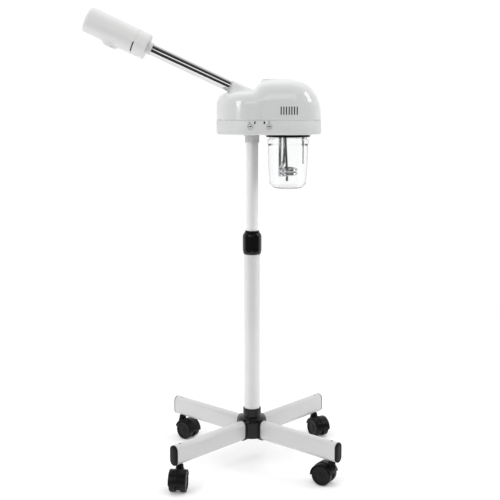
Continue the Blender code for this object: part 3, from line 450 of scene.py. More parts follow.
def wire(points, radius, resolution):
    """A round bar along the points."""
    curve = bpy.data.curves.new("wire", "CURVE")
    curve.dimensions = "3D"
    curve.bevel_depth = radius
    curve.bevel_resolution = resolution
    curve.use_fill_caps = True
    spline = curve.splines.new("POLY")
    spline.points.add(len(points) - 1)
    for point, place in zip(spline.points, points):
        point.co = (*place, 1.0)
    return evaluated(placed("working", curve))


def softened(points):
    """Two rounds of Chaikin's corner cutting: a smooth path through the middle of a coarse one."""
    for _ in range(2):
        cut = [points[0]]
        for a, b in zip(points, points[1:]):
            a, b = Vector(a), Vector(b)
            cut += [a * 0.75 + b * 0.25, a * 0.25 + b * 0.75]
        points = cut + [points[-1]]
    return [tuple(p) for p in points]


def loft(sections):
    """A closed skin through level sections with the same number of points."""
    bm = bmesh.new()
    rings = [[bm.verts.new(p) for p in section] for section in sections]
    count = len(rings[0])
    for low, high in zip(rings, rings[1:]):
        for i in range(count):
            j = (i + 1) % count
            bm.faces.new((low[i], low[j], high[j], high[i]))
    bm.faces.new(list(reversed(rings[0])))
    bm.faces.new(rings[-1])
    return from_bmesh(bm)


# ---- Blended surfaces ----


def blend(a, b, reach):
    """The union of two distance fields, filleted where they meet."""
    h = np.maximum(reach - np.abs(a - b), 0.0) / np.maximum(reach, 1e-6)
    return np.minimum(a, b) - h * h * reach / 4


def rounded(u, v, radius):
    """The distance to a solid that two faces bound, with the edge between them rounded off."""
    u, v = u + radius, v + radius
    return np.hypot(np.maximum(u, 0), np.maximum(v, 0)) + np.minimum(np.maximum(u, v), 0) - radius


def skin(field, low, high, cell):
    """The zero surface of a distance field as quads, one vertex in each cell that it crosses."""
    axes = [np.arange(a, b + cell, cell) for a, b in zip(low, high)]
    grid = np.stack(np.meshgrid(*axes, indexing="ij"), axis=-1)
    value = field(grid)
    inside = value < 0
    nx, ny, nz = inside.shape
    corners = [(i, j, k) for i in (0, 1) for j in (0, 1) for k in (0, 1)]
    count = sum(
        inside[i:nx - 1 + i, j:ny - 1 + j, k:nz - 1 + k].astype(np.int8) for i, j, k in corners
    )
    mixed = (count > 0) & (count < 8)
    index = np.full(mixed.shape, -1)
    index[mixed] = np.arange(mixed.sum())
    points = grid[:-1, :-1, :-1][mixed] + cell / 2
    step = cell * 0.05
    for _ in range(8):
        here = field(points)
        slope = np.stack(
            [(field(points + d) - field(points - d)) / (2 * step) for d in np.eye(3) * step], axis=-1
        )
        pull = here / np.maximum((slope**2).sum(-1), 1e-3)
        points = points - slope * np.clip(pull, -cell, cell)[:, None]
    faces = []
    inner = slice(1, -1)
    for axis in range(3):
        first, second = [inner] * 3, [inner] * 3
        first[axis], second[axis] = slice(0, -1), slice(1, None)
        a, b = inside[tuple(first)], inside[tuple(second)]
        others = [d for d in range(3) if d != axis]
        loops = []
        for du, dv in ((0, 0), (1, 0), (1, 1), (0, 1)):
            window = [None] * 3
            window[axis] = slice(0, None)
            for d, offset in zip(others, (du, dv)):
                window[d] = slice(offset, inside.shape[d] - 2 + offset)
            loops.append(index[tuple(window)])
        loop = np.stack(loops, axis=-1)
        faces += loop[a & ~b][:, ::-1 if axis == 1 else 1].tolist()
        faces += loop[b & ~a][:, ::1 if axis == 1 else -1].tolist()
    mesh = bpy.data.meshes.new("skin")
    mesh.from_pydata(points.tolist(), [], faces)
    return mesh


def trimmed(mesh, place, normal):
    """The mesh with everything on the normal's side of a plane removed, and the cut filled."""
    bm = bmesh.new()
    bm.from_mesh(mesh)
    geometry = bm.verts[:] + bm.edges[:] + bm.faces[:]
    bmesh.ops.bisect_plane(bm, geom=geometry, plane_co=place, plane_no=normal, clear_outer=True, dist=1e-4)
    bmesh.ops.holes_fill(bm, edges=[e for e in bm.edges if e.is_boundary])
    bm.to_mesh(mesh)
    bm.free()
    return mesh


# ---- Head ----

DOME_RISE, DOME_LEFT_RUN = 96.5, 91.3
SHOULDER_Z, SHOULDER_RUN, SHOULDER_RISE, SHOULDER_END_X = 937.5, 26.0, 32.5, 4.0
COVER_WALL = 2.4
COVER_LOW, COVER_HIGH = (-92, -86, 860), (174, 86, 974)  # a box that holds the cover
VENT_COUNT, VENT_X, VENT_PITCH, VENT_HALF_WIDTH, VENT_FOOT, VENT_TOP = 7, 68.6, 6.35, 1.35, 883.85, 903.35
TRAY_FILLET, TRAY_WALL = 5.0, 2.6
ARM_AXIS = np.array([-math.cos(math.radians(ARM_RISE)), 0.0, math.sin(math.radians(ARM_RISE))])
MOUTH = np.array([MOUTH_X, 0.0, MOUTH_Z])


def shoulder_field(p):
    """A level stadium with an elliptical edge, for the low end of the cover."""
    x, y, z = p[..., 0], p[..., 1], p[..., 2]
    away = np.hypot(x - np.clip(x, HEAD_LEFT_X, SHOULDER_END_X), y) - HEAD_R
    u, v = away + SHOULDER_RUN, z - SHOULDER_Z + SHOULDER_RISE
    ellipse = np.hypot(np.maximum(u, 1e-6) / SHOULDER_RUN, np.maximum(v, 1e-6) / SHOULDER_RISE)
    corner = np.hypot(np.maximum(u, 1e-6), np.maximum(v, 1e-6)) * (1 - 1 / np.maximum(ellipse, 1e-3))
    return np.where((u > 0) & (v > 0), corner, np.maximum(away, v - SHOULDER_RISE))


def dome_field(p):
    """Round to the right, squarer to the left, and flattest on top."""
    x, y, z = p[..., 0] - JAR_X, p[..., 1], np.maximum(p[..., 2] - SEAM, 0.0)
    flat = np.hypot(x, y)
    right = np.maximum(x, 0.0) / np.maximum(flat, 1e-6)
    left_norm = ((np.maximum(-x, 0.0) / DOME_LEFT_RUN) ** 6 + (np.abs(y) / HEAD_R) ** 6) ** (1 / 6)
    plan = np.where(x < 0, left_norm, flat / HEAD_R)
    power = 4.0 - 1.7 * right**1.5
    norm = (plan**power + (z / DOME_RISE) ** power) ** (1 / power)
    return np.hypot(flat, z) * (1 - 1 / np.maximum(norm, 1e-3))


def sleeve_field(p):
    """The arm's sleeve, from just behind its mouth to inside the dome."""
    s = (p - MOUTH) @ ARM_AXIS
    away = np.linalg.norm(p - MOUTH - s[..., None] * ARM_AXIS, axis=-1)
    return np.maximum(away - SLEEVE_R, np.maximum(s + 2.8, -74.0 - s))


def seat_field(p):
    """The raised seat under the cap, a rounded stadium 2 mm wider than the cap."""
    x, y = np.maximum(np.abs(p[..., 0] - CAP_X) - (CAP_HALF_X - CAP_HALF_Y), 0.0), p[..., 1]
    return rounded(np.hypot(x, y) - CAP_HALF_Y - 2.0, p[..., 2] - 967.2, 4.0)


def cover_field(p):
    """The whole outside. The fillets fade out towards the foot and the sleeve's mouth."""
    rise = np.clip((p[..., 2] - 896.0) / 26.0, 0.0, 1.0)
    into = np.clip((-3.0 - (p - MOUTH) @ ARM_AXIS) / 12.0, 0.0, 1.0)
    shoulder, dome = shoulder_field(p), blend(dome_field(p), seat_field(p), 7.0)
    faired = blend(shoulder, sleeve_field(p), 14.0 * into)
    domed = blend(shoulder, dome, 11.0 * rise * rise * (3 - 2 * rise))
    whole = blend(domed, faired, 2.5 * np.clip(shoulder / 5.0, 0.0, 1.0))
    return np.maximum(whole, np.abs(p[..., 1]) - HEAD_R)


def inset(v, amount):
    """Moves a vertex towards the head's middle line."""
    v.co -= Vector((v.co.x - min(max(v.co.x, HEAD_LEFT_X), JAR_X), v.co.y, 0.0)).normalized() * amount


def make_cover():
    """The cover as an outer skin less an inner one, with its foot, vents, bore and cap recess cut."""
    cell = 1.7

    def outside(p):
        return np.maximum(cover_field(p), 864.0 - p[..., 2])

    def inside(p):
        return np.maximum(cover_field(p) + COVER_WALL, 860.0 - p[..., 2])

    shell = skin(outside, COVER_LOW, COVER_HIGH, cell)
    tools = [block((-120, -100, 840), (200, 100, SEAM + 0.5))]
    tools.append(skin(inside, (*COVER_LOW[:2], 856), COVER_HIGH, cell * 1.8))
    on_arm = shift(*MOUTH) @ turn(ARM_RISE - 90.0, "Y")
    tools += [moved(rod(SLEEVE_BORE, -66.0, 10.0, 64), on_arm), moved(rod(16.9, -2.3, 22.0, 64), on_arm)]
    recess = plate([stadium(CAP_HALF_X + GAP, CAP_HALF_Y + GAP, 12)], 20.0)
    tools.append(moved(recess, shift(CAP_X, 0.0, 975.3)))
    slots = []
    for x in [VENT_X + VENT_PITCH * i for i in range(VENT_COUNT)]:
        left, right = x - VENT_HALF_WIDTH, x + VENT_HALF_WIDTH
        for near, far in ((-92, -60), (60, 92)):
            slots.append(block((left, near, VENT_FOOT), (right, far, VENT_TOP), 0.9, 2))
    tools.append(joined(*slots))
    shell = combined(shell, tools)
    # A second ring just above the foot lets the foot's outer edge turn in, so that the seam is a fine V.
    bm = bmesh.new()
    bm.from_mesh(shell)
    geometry = bm.verts[:] + bm.edges[:] + bm.faces[:]
    bmesh.ops.bisect_plane(bm, geom=geometry, plane_co=(0, 0, SEAM + 1.6), plane_no=(0, 0, 1))
    feet = [v for v in bm.verts if v.co.z < SEAM + 0.6]
    depth = cover_field(np.array([v.co for v in feet]))
    for v, distance in zip(feet, depth):
        if distance > -0.4:
            inset(v, 0.7)
    bm.to_mesh(shell)
    bm.free()
    piece("cover_shell", shell, HEAD_WHITE, "head", replaces="upper_cover", smooth=38.0)
    left, right = 66.0, 109.0
    bars = [block((left, -0.5, 879.0), (right, 0.5, 908.0), 0.3, 1)]
    for z in np.arange(881.0, 907.0, 3.0):
        bars.append(block((left, -1.0, z - 0.5), (right, 1.0, z + 0.5), 0.3, 1))
    screen = joined(*bars)
    for side, y in (("front", -74.0), ("rear", 74.0)):
        piece("vent_screen_" + side, screen, BLACK, "head", POLE @ at(y=y))
    boss = lathe(eased([(SLEEVE_BORE, -72.0), (SLEEVE_BORE, -4.0), (16.1, -4.0), (16.1, -72.0)], 0.3), 64)
    piece("arm_boss", boss, HEAD_WHITE, "head", ARM)
    cap = plate([stadium(CAP_HALF_X, CAP_HALF_Y, 16)], 3.6, 1.1, 3)
    piece("cap_plate", cap, HEAD_WHITE, "head", POLE @ at(CAP_X, 0.0, 967.4), "top_cap")


def tray_section(z, radius, segments=60):
    points = []
    for centre, start in ((JAR_X, -90), (HEAD_LEFT_X, 90)):
        points += [(x, y, z) for x, y in arc(centre, 0.0, radius, radius, start, start + 180, segments)]
    return points


def make_tray():
    """The tray with its holes, the lip inside the seam and the screws under it."""
    outer = []
    for a in [math.radians(angle) for angle in range(0, 91, 15)]:
        rise, back = TRAY_FILLET * (1 - math.cos(a)), TRAY_FILLET * (1 - math.sin(a))
        outer.append(tray_section(HEAD_FOOT + rise, HEAD_R - back))
    outer += [tray_section(SEAM - 1.1, HEAD_R), tray_section(SEAM, HEAD_R - 0.8)]
    inner_r = HEAD_R - TRAY_WALL
    inner = [tray_section(HEAD_FOOT + 3, HEAD_R - 4), tray_section(HEAD_FOOT + 5, inner_r),
             tray_section(SEAM + 6, inner_r)]
    through = (HEAD_FOOT - 5, HEAD_FOOT + 8)
    tools = [loft(inner), rod(18.1, *through, 64), moved(rod(46, *through, 96), shift(JAR_X))]
    for x in BUTTON_X.values():
        tools.append(moved(rod(7.35, 70, 90, 48), turn(90, "X") @ shift(x, BUTTON_Z)))
    for x in LAMP_X.values():
        tools.append(block((x - 1.9, -90, 862.5), (x + 1.9, -70, 868.7)))
    tools.append(moved(block((-13.8, 70, -10.05), (13.8, 95, 10.05)), shift(INLET_X, 0, REAR_Z)))
    tools.append(moved(rod(6.2, -95, -70, 32), turn(90, "X") @ shift(FUSE_X, REAR_Z)))
    shell = combined(loft(outer), tools)
    piece("tray_shell", shell, TRAY_WHITE, "head", replaces="lower_tray", smooth=38)
    ridge = [tray_section(SEAM - 4, HEAD_R - 3, 40), tray_section(SEAM + 3, HEAD_R - 3.9, 40)]
    core = [tray_section(SEAM - 6, HEAD_R - 5.5, 40), tray_section(SEAM + 8, HEAD_R - 5.5, 40)]
    lip = combined(loft(ridge), [loft(core)])
    piece("tray_lip", lip, TRAY_WHITE, "head")
    screw = combined(lathe(eased([(0, 0), (3.4, 0), (3.4, 1.2), (2.6, 1.9), (0, 1.9)], 0.3), 32),
                     [block((-2.2, -0.35, 1.2), (2.2, 0.35, 3)), block((-0.35, -2.2, 1.2), (0.35, 2.2, 3))])
    spots = ((-62, 0), (-18, 52), (-18, -52), (140, 42), (140, -42), (34, 62), (34, -62))
    for i, (x, y) in enumerate(spots):
        piece(f"tray_screw_{i}", screw, STAINLESS, "head",
              POLE @ at(x, y, HEAD_FOOT + 0.1) @ turn(180, "X"))


def make_panel():
    """Buttons, their marks, the lamps, and generic icons printed on the front."""
    for name, x in BUTTON_X.items():
        cap = lathe(eased([(0, 82.7), (4.4, 82.75), (5.6, 82.6), (6.6, 82.1), (7, 81), (7, 78),
                           (8.4, 78), (8.4, 76.6), (3, 76.6), (3, 68.4), (0, 68.4)], 0.4), 64)
        groove = combined(rod(5.3, 81.9, 90, 48), [rod(4.7, 81, 91, 48)])
        cap = combined(cap, [groove])
        place = PANEL @ at(x, BUTTON_Z)
        body = "button_" + name
        piece(body + "_cap", cap, BUTTON_WHITE, body, place, body)
        mark = plate([stadium(3.7, 1, 5)], 0.3, 0.08, 1)
        piece(body + "_mark", mark, LENS_BLACK, body, place @ at(0, 0, 82.75))
        ring = lathe(eased([(8.3, 80.9), (8.3, 81.3), (7.55, 81.3), (7.55, 80.9)], 0.15), 64)
        piece(body + "_bezel", ring, TRAY_WHITE, "head", place)
    for name, material in (("power", LENS_GREY), ("ozone", LENS_BLACK)):
        x = LAMP_X[name]
        lens = block((x - 1.6, 862.8, 76), (x + 1.6, 868.4, 81.4), 0.5, 2)
        piece("lens_" + name, lens, material, "head", PANEL, "lamp_" + name)
    ring = [(x, z, HEAD_R) for x, z in arc(-6.3, 866.2, 1.9, 1.9, 130, 410, 21)]
    power = joined(wire(ring, 0.3, 2), wire([(-6.3, 866, HEAD_R), (-6.3, 868.4, HEAD_R)], 0.3, 2))
    piece("icon_power", power, PRINT_GREY, "head", PANEL)
    waves = []
    for x in (38.2, 40.2, 42.2):
        wave = [(x + 0.5 * math.sin(t * 1.25), 864.2 + 0.45 * t, HEAD_R) for t in range(11)]
        waves.append(wire(wave, 0.28, 2))
    piece("icon_steam", joined(*waves), PRINT_GREY, "head", PANEL)


def make_rear():
    """The mains inlet with its pins, and the fuse cap with its slot."""
    place = POLE @ at(INLET_X, HEAD_R, REAR_Z)
    flange = block((-16.5, 0.3, -12.25), (16.5, 2.3, 12.25), 0.9)
    body = combined(flange, [block((-13.5, -18, -9.75), (13.5, 1, 9.75), 0.6)], "UNION")
    corner = [(-11.25, -7.75), (11.25, -7.75), (11.25, 3.6), (7.4, 7.75), (-7.4, 7.75), (-11.25, 3.6)]
    cavity = moved(plate([corner], 20), turn(90, "X"))
    body = combined(body, [moved(cavity, shift(0, -3.7, 0))])
    piece("inlet_body", body, BLACK, "head", place, "power_inlet")
    for i, (x, z) in enumerate(((-6.5, -2), (6.5, -2), (0, 2.6))):
        pin = block((x - 0.9, -15, z - 2), (x + 0.9, -0.8, z + 2), 0.5, 2)
        piece(f"inlet_pin_{i}", pin, BRASS, "head", place)
    cap = lathe(eased([(0, 20), (5.6, 20), (5.6, -0.3), (8, -0.3), (8, -3.2), (7, -4), (0, -4)], 0.5), 48,
                lambda a, r, z: r - (0.35 if r > 6.5 and math.cos(16 * a) > 0.2 else 0))
    cap = combined(cap, [block((-4.6, -0.6, -9), (4.6, 0.6, -2.8))])
    place = POLE @ at(FUSE_X, HEAD_R, REAR_Z) @ turn(90, "X")
    piece("fuse_knob", cap, BLACK, "head", place, "fuse_cap")


# ---- Jar and boiler ----


def make_jar():
    """The jar, and the ring with its grips that holds it."""
    outer = [(0, 704), (33.4, 704), (36.2, 705.2), (44.6, 713.4), (45.3, 716.5), (49.4, 770),
             (49.5, 811), (50, 812.6), (51, 814.6), (51, 821.2), (50.2, 823), (46.9, 824),
             (46.5, 825), (46.5, 832)]
    inner = [(46, 832.5), (43.6, 832.5), (43.2, 831.8), (43.2, 814.6), (43.9, 812.6), (46, 808.5),
             (46.2, 806), (46.2, 774), (42, 718), (40.4, 714.4), (34, 708.8), (32, 708),
             (0, 708)]
    glass = lathe(eased(outer + inner, 1.6, 5), 128)
    piece("jar_glass", glass, GLASS, "jar", JAR, "jar", smooth=60)

    def grips(a, r, z):
        return r - (0.5 if r > 53 and math.cos(48 * a) > 0 else 0)

    ring = lathe(eased([(47, 829), (47, 835.7), (53.4, 835.7), (54.2, 834.9), (54.2, 830),
                        (53.2, 829)], 0.4), 192, grips)
    piece("jar_collar", ring, BLACK_GLOSS, "jar_ring", JAR, "jar_ring")


LEAD_IN, LEAD_OUT, SENSOR_AT, PROBE_AT, NIPPLE_AT = (-19, 9), (-9, -6), (-7.4, -16), (37.6, 0), (12, 20)
COIL_R, HEATER_R, COIL_FOOT, COIL_PITCH, COIL_TURNS, LEAD_TOP = 21.0, 4.0, 735.0, 9.0, 2.0, 852.0


def heater_path():
    """Down one lead, round the coil and up the other, along the tube's middle."""
    sides = 12
    start = math.atan2(LEAD_IN[1], LEAD_IN[0])
    points = [(*LEAD_IN, LEAD_TOP), (*LEAD_IN, COIL_FOOT + 30), (*LEAD_IN, COIL_FOOT + 6)]
    for i in range(1, int(sides * COIL_TURNS) + 1):
        a = start + 2 * math.pi * i / sides
        points.append((COIL_R * math.cos(a), COIL_R * math.sin(a), COIL_FOOT + COIL_PITCH * i / sides))
    top = COIL_FOOT + COIL_PITCH * COIL_TURNS
    return points + [(-14, -2, top + 6), (*LEAD_OUT, top + 20), (*LEAD_OUT, LEAD_TOP)]


def make_boiler():
    """What hangs in the jar, and the lid that it hangs from."""
    coil = wire(softened(heater_path()), HEATER_R, 8)
    piece("heater_tube", coil, HEATER_STEEL, "head", JAR, "heater_coil", smooth=60)
    sensor = [(*SENSOR_AT, LEAD_TOP), (*SENSOR_AT, 833), (-2.6, -11, 748), (-2.4, -10.8, 722)]
    piece("sensor_tube", wire(softened(sensor), 3, 6), DARK_METAL, "head", JAR,
          "dry_fire_sensor", smooth=60)
    probe = lathe(eased([(0, LEAD_TOP), (2.6, LEAD_TOP), (2.6, 812), (1.35, 811), (1.35, 763.6),
                         (0.6, 763), (0, 763)], 0.3), 32)
    piece("probe_rod", probe, DARK_METAL, "head", JAR @ at(*PROBE_AT), "level_probe")
    floor = HEAD_FOOT + 3
    lid = lathe(eased([(0, floor + 3.3), (52, floor + 3.3), (52, floor + 0.3), (45.6, floor + 0.3),
                       (45.6, HEAD_FOOT + 0.3), (0, HEAD_FOOT + 0.3)], 0.4), 96)
    lid = combined(lid, [moved(rod(7.4, floor + 1, floor + 13, 32), shift(*NIPPLE_AT))], "UNION")
    holes = ((NIPPLE_AT, 5.5), (LEAD_IN, 4.6), (LEAD_OUT, 4.6), (PROBE_AT, 3.2), (SENSOR_AT, 3.6))
    lid = combined(lid, [moved(rod(r, 820, 870, 24), shift(*place)) for place, r in holes])
    piece("boiler_plate", lid, STAINLESS, "head", JAR, "boiler_lid")
    for name, place, outer, inner in (("in", LEAD_IN, 6.6, 4.3), ("out", LEAD_OUT, 6.6, 4.3),
                                      ("probe", PROBE_AT, 4.6, 2.8)):
        nut = plate([arc(0, 0, outer, outer, 0, 300, 6), arc(0, 0, inner, inner, 0, 345, 24)], 2.4)
        piece("lid_nut_" + name, nut, STAINLESS, "head", JAR @ at(*place, HEAD_FOOT - 1.1))


# ---- Arm and nozzle ----


NOZZLE_FILLET, SPLIT_GAP = 7.0, 0.12
OUTLET_R, OUTLET_REACH = 15.4, 37.3


def make_arm():
    """The tube, the rings on it and the half of the nozzle that is fixed to it."""
    tube = pipe(ARM_R, ARM_WALL, -42, 228)
    piece("arm_pipe", tube, CHROME, "arm", ARM, "arm_tube", smooth=50)
    trim = lathe(eased([(13.9, -2.2), (13.9, 0), (15.2, 0), (SLEEVE_R, -1.2), (SLEEVE_R, -2.2)], 0.35), 96)
    piece("mouth_ring", trim, SATIN_SILVER, "head", ARM, "socket_trim")
    bore, neck_end = ARM_R + GAP, NOZZLE_START - GAP
    neck = lathe(eased([(bore, 208.5), (bore, neck_end), (15.5, neck_end), (15.5, 209.5),
                        (14.5, 208.5)], 0.5), 96)
    piece("neck_ring", neck, NOZZLE_WHITE, "arm", ARM, "neck_collar")
    split = NOZZLE_SPLIT - SPLIT_GAP
    rear = lathe(eased([(bore, NOZZLE_START), (bore, 223.4), (29, 223.4), (29, split),
                        (NOZZLE_R, split), (NOZZLE_R, 222), (29.6, NOZZLE_START)], 0.5, 5), 128)
    piece("nozzle_back_half", rear, NOZZLE_WHITE, "arm", ARM, "nozzle_rear")


def barrel_field(p):
    """The barrel along Z with a rounded end, and the outlet's swelling on its -X side."""
    x, y, z = p[..., 0], p[..., 1], p[..., 2]
    barrel = rounded(np.hypot(x, y) - NOZZLE_R, z - NOZZLE_END, NOZZLE_FILLET)
    stub = rounded(np.hypot(y, z - OUTLET_AT) - OUTLET_R, -x - OUTLET_REACH, 2.0)
    return blend(barrel, np.maximum(stub, x), 13.0)


def make_nozzle():
    """The half of the nozzle that turns, with the slot at its split, and the outlet under it."""
    start = NOZZLE_SPLIT + SPLIT_GAP
    cell = 1.5
    barrel = skin(barrel_field, (-42, -36, 242), (36, 36, 385), cell)
    barrel = trimmed(barrel, (0, 0, start), (0, 0, -1))
    ring = combined(rod(40, start - 5, start + 3.2, 96), [rod(29.6, start - 6, start + 4, 96)])
    half = block((-26, -50, start - 8), (-2, 50, start + 8))
    slit = combined(ring, [half], "INTERSECT")
    barrel = combined(barrel, [slit, rod(28.8, start - 5, start + 5, 96),
                               moved(rod(13.7, 24, 60, 64), shift(z=OUTLET_AT) @ turn(-90, "Y"))])
    piece("nozzle_barrel_skin", barrel, NOZZLE_WHITE, "nozzle", ARM,
          "nozzle_barrel", 40)
    band = [(28.6, -11), (28.6, 0.2), (30.5, 0.4), (30.5, 3), (28.6, 3), (28.6, 4), (26, 4), (26, -11)]
    band = lathe(eased([(radius, start + z) for radius, z in band], 0.2), 96)
    piece("nozzle_inner_band", band, BLACK, "nozzle", ARM)
    outlet = lathe(eased([(0, 34), (10.4, 34.4), (11.2, 37.6), (11.7, 38.4), (12.5, 38.4), (13.4, 36.8),
                          (13.4, 26), (11, 26), (11, 31.5), (0, 31.5)], 0.5), 64)
    spots = [(0, 0)] + arc(0, 0, 6.2, 6.2, 0, 300, 6)
    outlet = combined(outlet, [moved(rod(1.5, 28, 42, 16), shift(x, y)) for x, y in spots])
    place = ARM @ at(0, 0, OUTLET_AT) @ turn(-90, "Y")
    piece("outlet_grille", outlet, NOZZLE_WHITE, "nozzle", place, "nozzle_outlet")


# ---- Pole and clamp ----


def make_poles():
    lower = pipe(LOWER_POLE_R, POLE_WALL, LOWER_POLE_FOOT, LOWER_POLE_TOP)
    piece("outer_pole", lower, PAINT, "base", replaces="lower_pole", smooth=50)
    upper = pipe(UPPER_POLE_R, POLE_WALL, UPPER_POLE_FOOT, UPPER_POLE_TOP)
    # The inner pole's lighter paint is painted light, standing in for light on the pole under the head's
    # shade.
    piece("inner_pole", upper, LIT_POLE_PAINT, "mast", replaces="upper_pole", smooth=50)
    bore, roof = UPPER_POLE_R + GAP, UPPER_POLE_TOP + GAP
    socket = lathe(eased([(0, 868), (19, 868), (19, 843), (26, 843), (26, 839.3),
                          (17.75, 839.3), (17.75, 817), (16.9, 815), (bore, 815), (bore, roof),
                          (0, roof)], 0.5), 96)
    piece("pole_cup", socket, GREY_CUP, "head", replaces="pole_socket")


def make_clamp():
    """The ring that is turned to lock the pole, and the slit collet that it squeezes."""
    panels, panel_foot, panel_side, panel_rise, panel_depth = 8, 547.5, 580, 6, 0.55
    half = 0.36  # of a panel's share of the ring

    def arches(a, r, z):
        """Shallow arched panels round the ring's outside."""
        share = (a * panels / (2 * math.pi)) % 1 - 0.5
        if r < 21 or abs(share) > half:
            return r
        top = panel_side + panel_rise * math.sqrt(1 - (share / half) ** 2)
        return r - (panel_depth if panel_foot < z < top else 0)

    side = [(23.5, z) for z in np.linspace(581, 550, 32)]
    profile = [(20.6, 538), (20.6, 542.5), (22, 542.5), (22, 576.5), (18.2, 576.5), (18.2, 592),
               (19.2, 592), (19.9, 591.2), (21.7, 588.4), (22.6, 586.4), (23.2, 583.8), *side,
               (23.3, 547.5), (22.6, 543), (21.9, 539.4), (21.2, 538)]
    piece("clamp_sleeve", lathe(profile, 240, arches), BLACK_GLOSS, "lock_ring",
          replaces="clamp_ring", smooth=45)
    wide, narrow, step = LOWER_POLE_R + GAP, UPPER_POLE_R + GAP, LOWER_POLE_TOP + GAP
    collet = lathe(eased([(wide, 544), (wide, step), (narrow, step), (narrow, 597), (17, 597),
                          (17.8, 595.5), (17.8, 575), (21.7, 575), (21.7, 544)], 0.4), 96)
    slits = [moved(block((12, -0.6, 578), (24, 0.6, 605)), turn(a, "Z")) for a in (45, 135, 225, 315)]
    piece("collet_sleeve", combined(collet, [joined(*slits)]), BLACK, "base",
          replaces="clamp_collet")


# ---- Base ----


def leg_turn(heading):
    """Turns local Z out along the leg and local Y up."""
    return turn(heading + 90.0, "Z") @ turn(90.0, "X")


def leg_place(heading, distance):
    """A place on the leg's axis, in millimetres from the pole's axis."""
    out = shift(*(c / MM for c in along(heading, distance).translation))
    return out @ shift(z=LEG_MID_Z) @ leg_turn(heading)


def make_hub():
    """The hub with its arches and the pockets that the legs sit in, its bolt and the pole's seal."""
    flare = arc(24.6, 105, 12.4, 12, 90, 0, 14)
    profile = [(20.3, 114), (20.3, 137), (21, 138), (22.4, 138), (23, 137.2), (22.6, 119),
               (23.4, 117.6), *flare, (38, 68), (37.3, 66.2), (35.6, 65), (20, 62), (9.5, 62),
               (9.5, 68), (4.3, 68), (4.3, 114)]
    body = lathe(eased(profile, 0.7), 160)
    arch = plate([stadium(LEG_HALF_WIDTH + 2.6, LEG_HALF_HEIGHT + 2.4, 12)], 20, 1)
    body = combined(body, [moved(arch.copy(), leg_place(h, 29.6)) for h in HEADINGS.values()], "UNION")
    pocket = plate([stadium(LEG_HALF_WIDTH + GAP, LEG_HALF_HEIGHT + GAP, 12)], 60)
    pocket_middle = LEG_ROOT - GAP + 30
    body = combined(body, [moved(pocket.copy(), leg_place(h, pocket_middle)) for h in HEADINGS.values()])
    piece("hub_moulding", body, BLACK_GLOSS, "base", replaces="hub", smooth=38)
    bolt = [(0, 134), (4, 134), (4, 67.7), (8, 67.7), (8, 63), (0, 63)]
    bolt = lathe(eased(bolt, 0.5), 6)
    piece("hub_bolt_hex", bolt, STAINLESS, "base", replaces="hub_bolt")
    lip = lathe(eased([(20.1, 137.6), (20.1, 138.9), (21.6, 138.9), (21.9, 137.6)], 0.3), 96)
    piece("pole_seal", lip, RUBBER, "base")


def leg_oval(inset_by=0.0):
    return stadium(LEG_HALF_WIDTH - inset_by, LEG_HALF_HEIGHT - inset_by, 12)


def make_legs():
    """Oval tubes, each with a dished cap on its end and a plug in the hole over its caster."""
    tube_end = LEG_END - 3.3
    middle = (tube_end + LEG_ROOT) / 2
    tube = plate([leg_oval(), leg_oval(LEG_WALL)], tube_end - LEG_ROOT, 0.25, 1)
    across = shift(z=SWIVEL_FROM_AXIS - middle) @ turn(-90, "X")
    tube = combined(tube, [moved(rod(5.8, -50, 0, 32), across), moved(rod(3.3, 0, 50, 32), across)])
    cap = plate([leg_oval()], 2.7, 0.8, 3)
    cap = combined(cap, [moved(plate([leg_oval(2.2)], 2, 0.3, 1), shift(z=1.6))])
    plug, crown = plate([stadium(10.7, 23.2, 10)], 10), plate([leg_oval(4)], 1.2, 0.3, 1)
    for added, z in ((plug, -6.2), (crown, 0.75)):
        cap = combined(cap, [moved(added, shift(z=z))], "UNION")
    rivet = lathe(eased([(0, 1), (3, 1), (3, -2), (0, -2)], 0.5), 24)
    for name, heading in HEADINGS.items():
        leg_at = POLE @ along(heading, middle, LEG_MID_Z) @ leg_turn(heading)
        piece("leg_tube_" + name, tube, PAINT, "base", leg_at, "leg_" + name)
        cap_at = POLE @ along(heading, LEG_END - 1.65, LEG_MID_Z) @ leg_turn(heading)
        piece("leg_end_" + name, cap, BLACK, "base", cap_at, "leg_cap_" + name)
        rivet_at = POLE @ along(heading, SWIVEL_FROM_AXIS, LEG_MID_Z + LEG_HALF_HEIGHT - 2.6)
        piece("leg_plug_" + name, rivet, BLACK, "base", rivet_at)


def wheel_mesh():
    def tread(a, r, z):
        """Fine grooves across the rolling face."""
        return r - (0.3 if r > 24.6 and math.cos(36 * a) > 0.86 else 0)

    profile = [(3.3, WHEEL_IN), (3.3, 18.5), (4.6, 19.2), (7.4, 19.4), (8, 18.6), (13.5, 18.2),
               (17.4, 18.4), (18.2, 19.6), (19.4, 20.4), (22, 20.5), (23.6, 20.1), (24.6, 18.9),
               (WHEEL_R, 17), (WHEEL_R, 9), (24.7, 7), (24, 5.4), (22.8, WHEEL_IN)]
    return lathe(eased(profile, 0.5, 3), 144, tread)


def round_arc(radius, start, end, count):
    return arc(0, 0, radius, radius, start, end, count)


